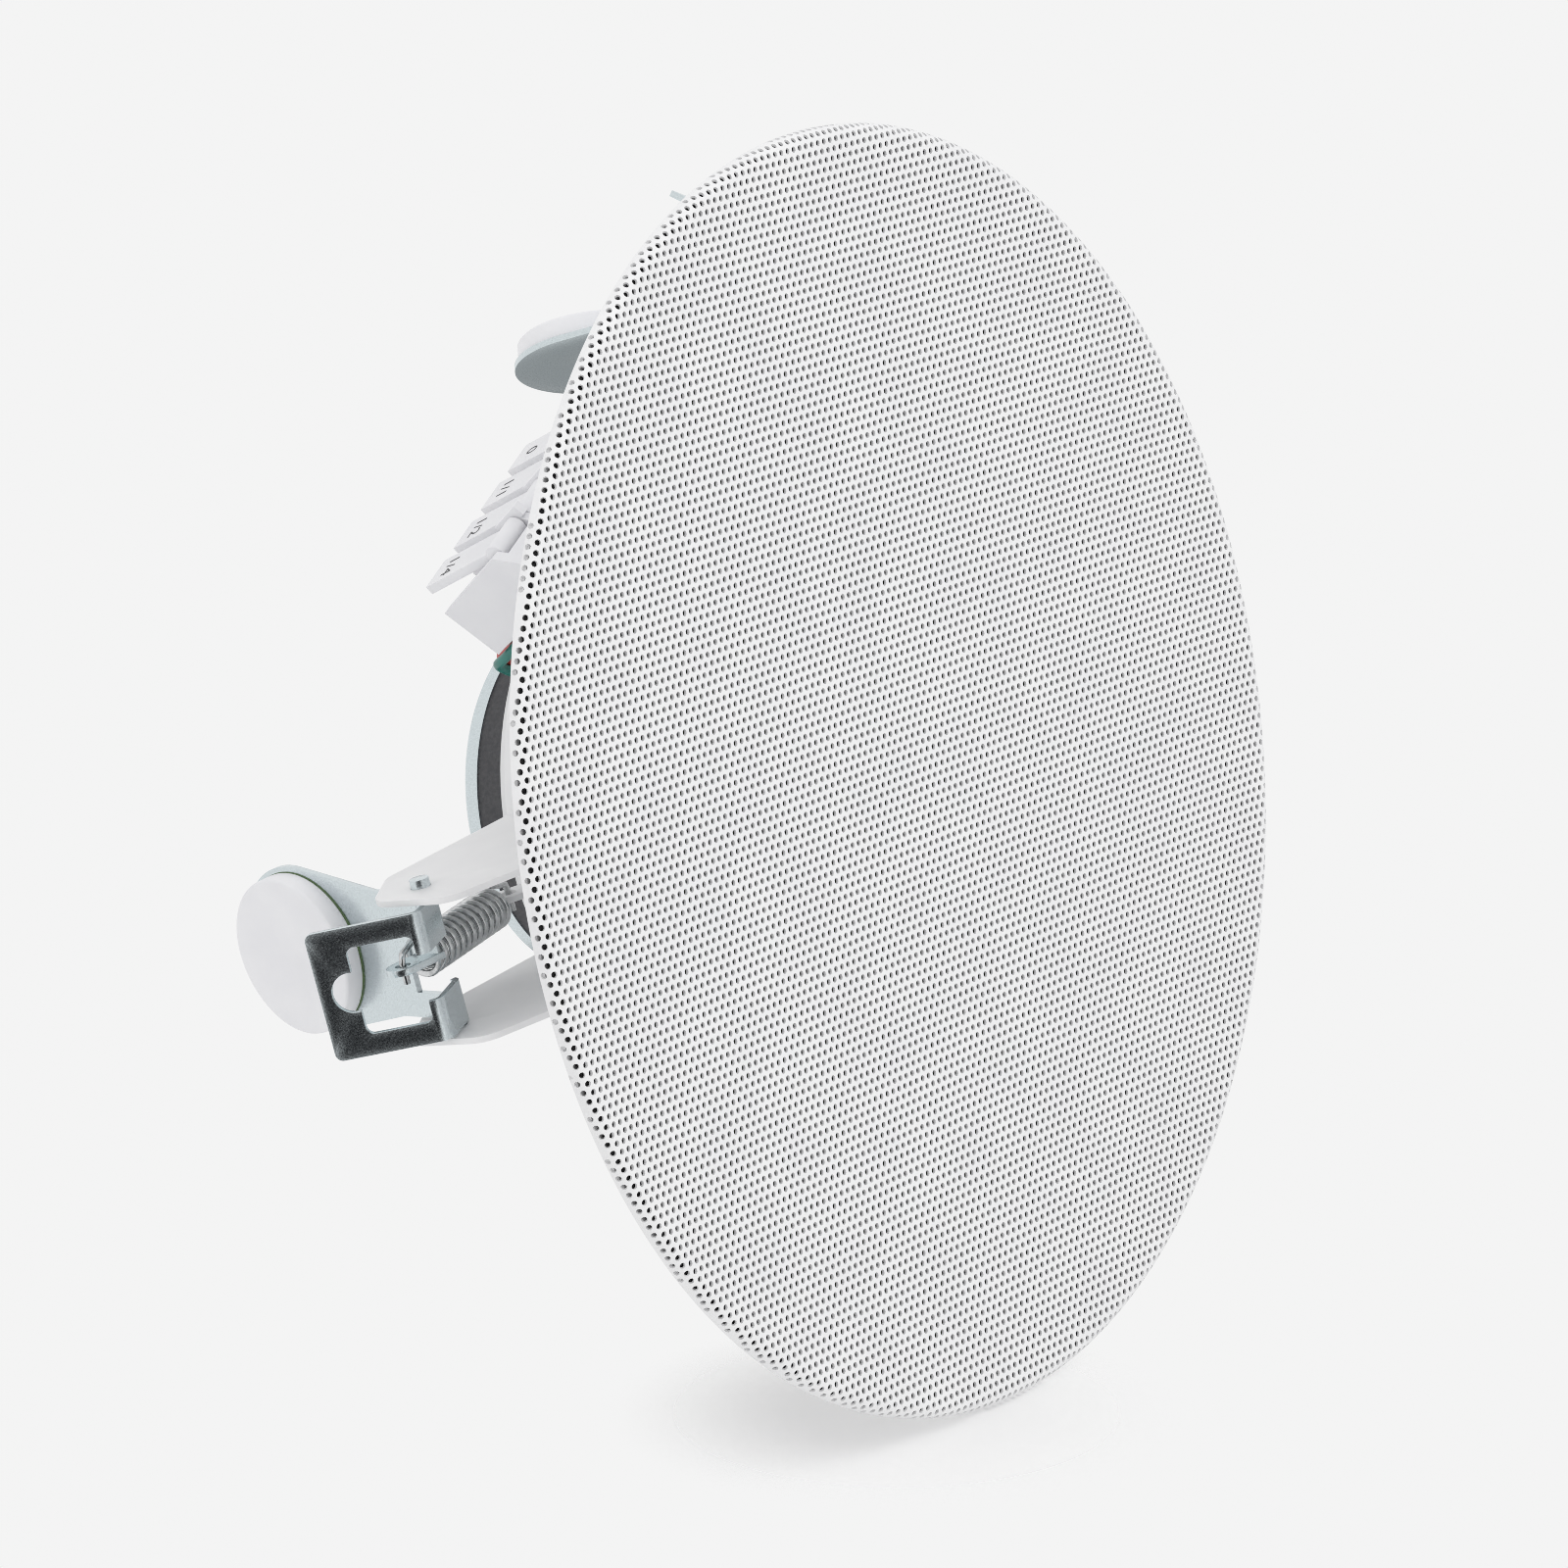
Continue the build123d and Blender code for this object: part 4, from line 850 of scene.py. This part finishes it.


# Section of the band of painted shade round a pad's foot
FOOT_SHADE_PROFILE = [
    (PAD_R - FOOT_SHADE_HIGH, 0.0),
    (PAD_R + FOOT_SHADE_PROUD, 0.0),
    (PAD_R + FOOT_SHADE_PROUD, FOOT_SHADE_HIGH),
    (PAD_R - FOOT_SHADE_HIGH, FOOT_SHADE_HIGH),
]
GLUE_PROFILE = [
    (GLUE_CORE, 0.0),
    (GLUE_CORE, -GLUE_SINK),
    (0.75 * GLUE_R, -0.9 * GLUE_SINK),
    (GLUE_R, -0.5 * GLUE_SINK),
    (GLUE_R, 0.0),
]
# Each pad gets a band of painted shade round its foot, and the adhesive in the plate's hole
for number in range(1, len(CLIP_ANGLES) + 1):
    pad_detail("pad_shade_band", FOOT_SHADE_PROFILE, number, PAD_FOOT_SHADE, "dark_rubber", PAD_SIDES)
    pad_detail("pad_glue", GLUE_PROFILE, number, GLUE_YELLOW, "winding_tape", GLUE_SIDES)

# Camera
scene.view_settings.view_transform = "Standard"
scene.cycles.filter_width = PIXEL_FILTER
lens = bpy.data.cameras.new("photo_camera")
lens.sensor_width = SENSOR
lens.lens = FOCAL_PIXELS / PHOTO_SIDE * SENSOR
lens.clip_start = CLIP_NEAR
lens.clip_end = CLIP_FAR
camera = bpy.data.objects.new("photo_camera", lens)
scene.collection.objects.link(camera)
seen_right, seen_up, seen_ahead = CENTRE_SEEN_AT
eye = GRILLE_CENTRE - CAMERA_RIGHT * seen_right - CAMERA_UP * seen_up + CAMERA_BACK * seen_ahead
camera.matrix_world = axes_at(CAMERA_RIGHT, CAMERA_UP, CAMERA_BACK, eye)
scene.camera = camera

# World: a pale backdrop to the eye and in reflections, plain soft light on the object
world = bpy.data.worlds.new("studio")
scene.world = world
nodes, links = node_tree(world)
nodes.clear()
ray = nodes.new("ShaderNodeLightPath")
seen = add_math(nodes, links, "MAXIMUM", ray.outputs["Is Camera Ray"], ray.outputs["Is Glossy Ray"])
seen = add_math(nodes, links, "MAXIMUM", seen, ray.outputs["Is Transmission Ray"])
soft = nodes.new("ShaderNodeBackground")
soft.inputs["Color"].default_value = WHITE
soft.inputs["Strength"].default_value = AMBIENT
pale = nodes.new("ShaderNodeBackground")
pale.inputs["Color"].default_value = BACKDROP
pale.inputs["Strength"].default_value = 1.0
add_surface(nodes, links, "ShaderNodeOutputWorld", seen, soft, pale)


def facing(place, target):
    """A transform at a place whose -Z axis looks at the target."""
    look = (target - place).to_track_quat("-Z", "Y")
    return Matrix.Translation(place) @ look.to_matrix().to_4x4()


key = bpy.data.lights.new("key", "AREA")
key.energy = KEY_POWER
key.size = KEY_SIZE
key_lamp = bpy.data.objects.new("key", key)
scene.collection.objects.link(key_lamp)
key_lamp.matrix_world = facing(KEY_TOWARD.normalized() * KEY_DISTANCE, GRILLE_CENTRE)


def add_fade(nodes, links, near, far):
    """One near the object's own centre, falling smoothly to nothing between two distances from it."""
    place = nodes.new("ShaderNodeTexCoord")
    away = nodes.new("ShaderNodeVectorMath")
    away.operation = "LENGTH"
    links.new(place.outputs["Object"], away.inputs[0])
    fade = add_range(nodes, links, away.outputs["Value"], (near, far), (1.0, 0.0))
    fade.interpolation_type = "SMOOTHSTEP"
    return fade.outputs["Result"]


def floor_material(name, fade_r):
    """A matt floor that only the camera sees, from above, and that fades into the backdrop."""
    material = bpy.data.materials.new(name)
    nodes, links = node_tree(material)
    nodes.clear()
    fade = add_fade(nodes, links, FLOOR_FADE_FROM * fade_r, fade_r)
    side = nodes.new("ShaderNodeNewGeometry")
    ray = nodes.new("ShaderNodeLightPath")
    front = add_math(nodes, links, "SUBTRACT", 1.0, side.outputs["Backfacing"])
    shown = add_math(nodes, links, "MULTIPLY", fade, front)
    shown = add_math(nodes, links, "MULTIPLY", shown, ray.outputs["Is Camera Ray"])
    clear = nodes.new("ShaderNodeBsdfTransparent")
    matt = nodes.new("ShaderNodeBsdfDiffuse")
    matt.inputs["Color"].default_value = FLOOR_PAINT
    add_surface(nodes, links, "ShaderNodeOutputMaterial", shown, clear, matt)
    return material


def card_material(name, shade, half):
    """Seen only in reflections, and fading out toward the card's edge."""
    material = bpy.data.materials.new(name)
    nodes, links = node_tree(material)
    nodes.clear()
    fade = add_fade(nodes, links, CARD_FADE_FROM * half, half)
    ray = nodes.new("ShaderNodeLightPath")
    shown = add_math(nodes, links, "MULTIPLY", fade, ray.outputs["Is Glossy Ray"])
    clear = nodes.new("ShaderNodeBsdfTransparent")
    paint = nodes.new("ShaderNodeEmission")
    paint.inputs["Color"].default_value = shade
    add_surface(nodes, links, "ShaderNodeOutputMaterial", shown, clear, paint)
    return material


def stage_plane(name, half, transform, material):
    """A square that belongs to the studio and not to the part."""
    mesh = bpy.data.meshes.new(name)
    corners = [(-half, -half, 0), (half, -half, 0), (half, half, 0), (-half, half, 0)]
    mesh.from_pydata(corners, [], [(0, 1, 2, 3)])
    obj = bpy.data.objects.new(name, mesh)
    scene.collection.objects.link(obj)
    obj.matrix_world = transform
    mesh.materials.append(material)


# Floors: one under the leaning disc in the photograph, one under the part as it rests on its grille
floor_up = (CAMERA_UP * math.cos(FLOOR_LEAN) + CAMERA_BACK * math.sin(FLOOR_LEAN)).normalized()
floor_right = (CAMERA_RIGHT - floor_up * CAMERA_RIGHT.dot(floor_up)).normalized()
floor_away = floor_up.cross(floor_right)
lowest = Vector((-floor_up.x, -floor_up.y, 0)).normalized() * GRILLE_R + Vector((0, 0, -GRILLE_DEPTH / 2))
shadow_centre = lowest + floor_right * SHADOW_SIDE - floor_away * SHADOW_NEAR
photo_floor = axes_at(floor_right, floor_away, floor_up, shadow_centre)
stage_plane("photo_floor", SHADOW_FADE, photo_floor, floor_material("photo_floor", SHADOW_FADE))
table = Matrix.Translation((0, 0, -GRILLE_DEPTH - TABLE_GAP))
stage_plane("table_floor", TABLE_FADE, table, floor_material("table_floor", TABLE_FADE))

# Cards that the bare metal reflects
for name, toward, half, shade in CARDS:
    place = facing(toward.normalized() * CARD_DISTANCE, GRILLE_CENTRE)
    stage_plane(name, half, place, card_material(name, shade, half))
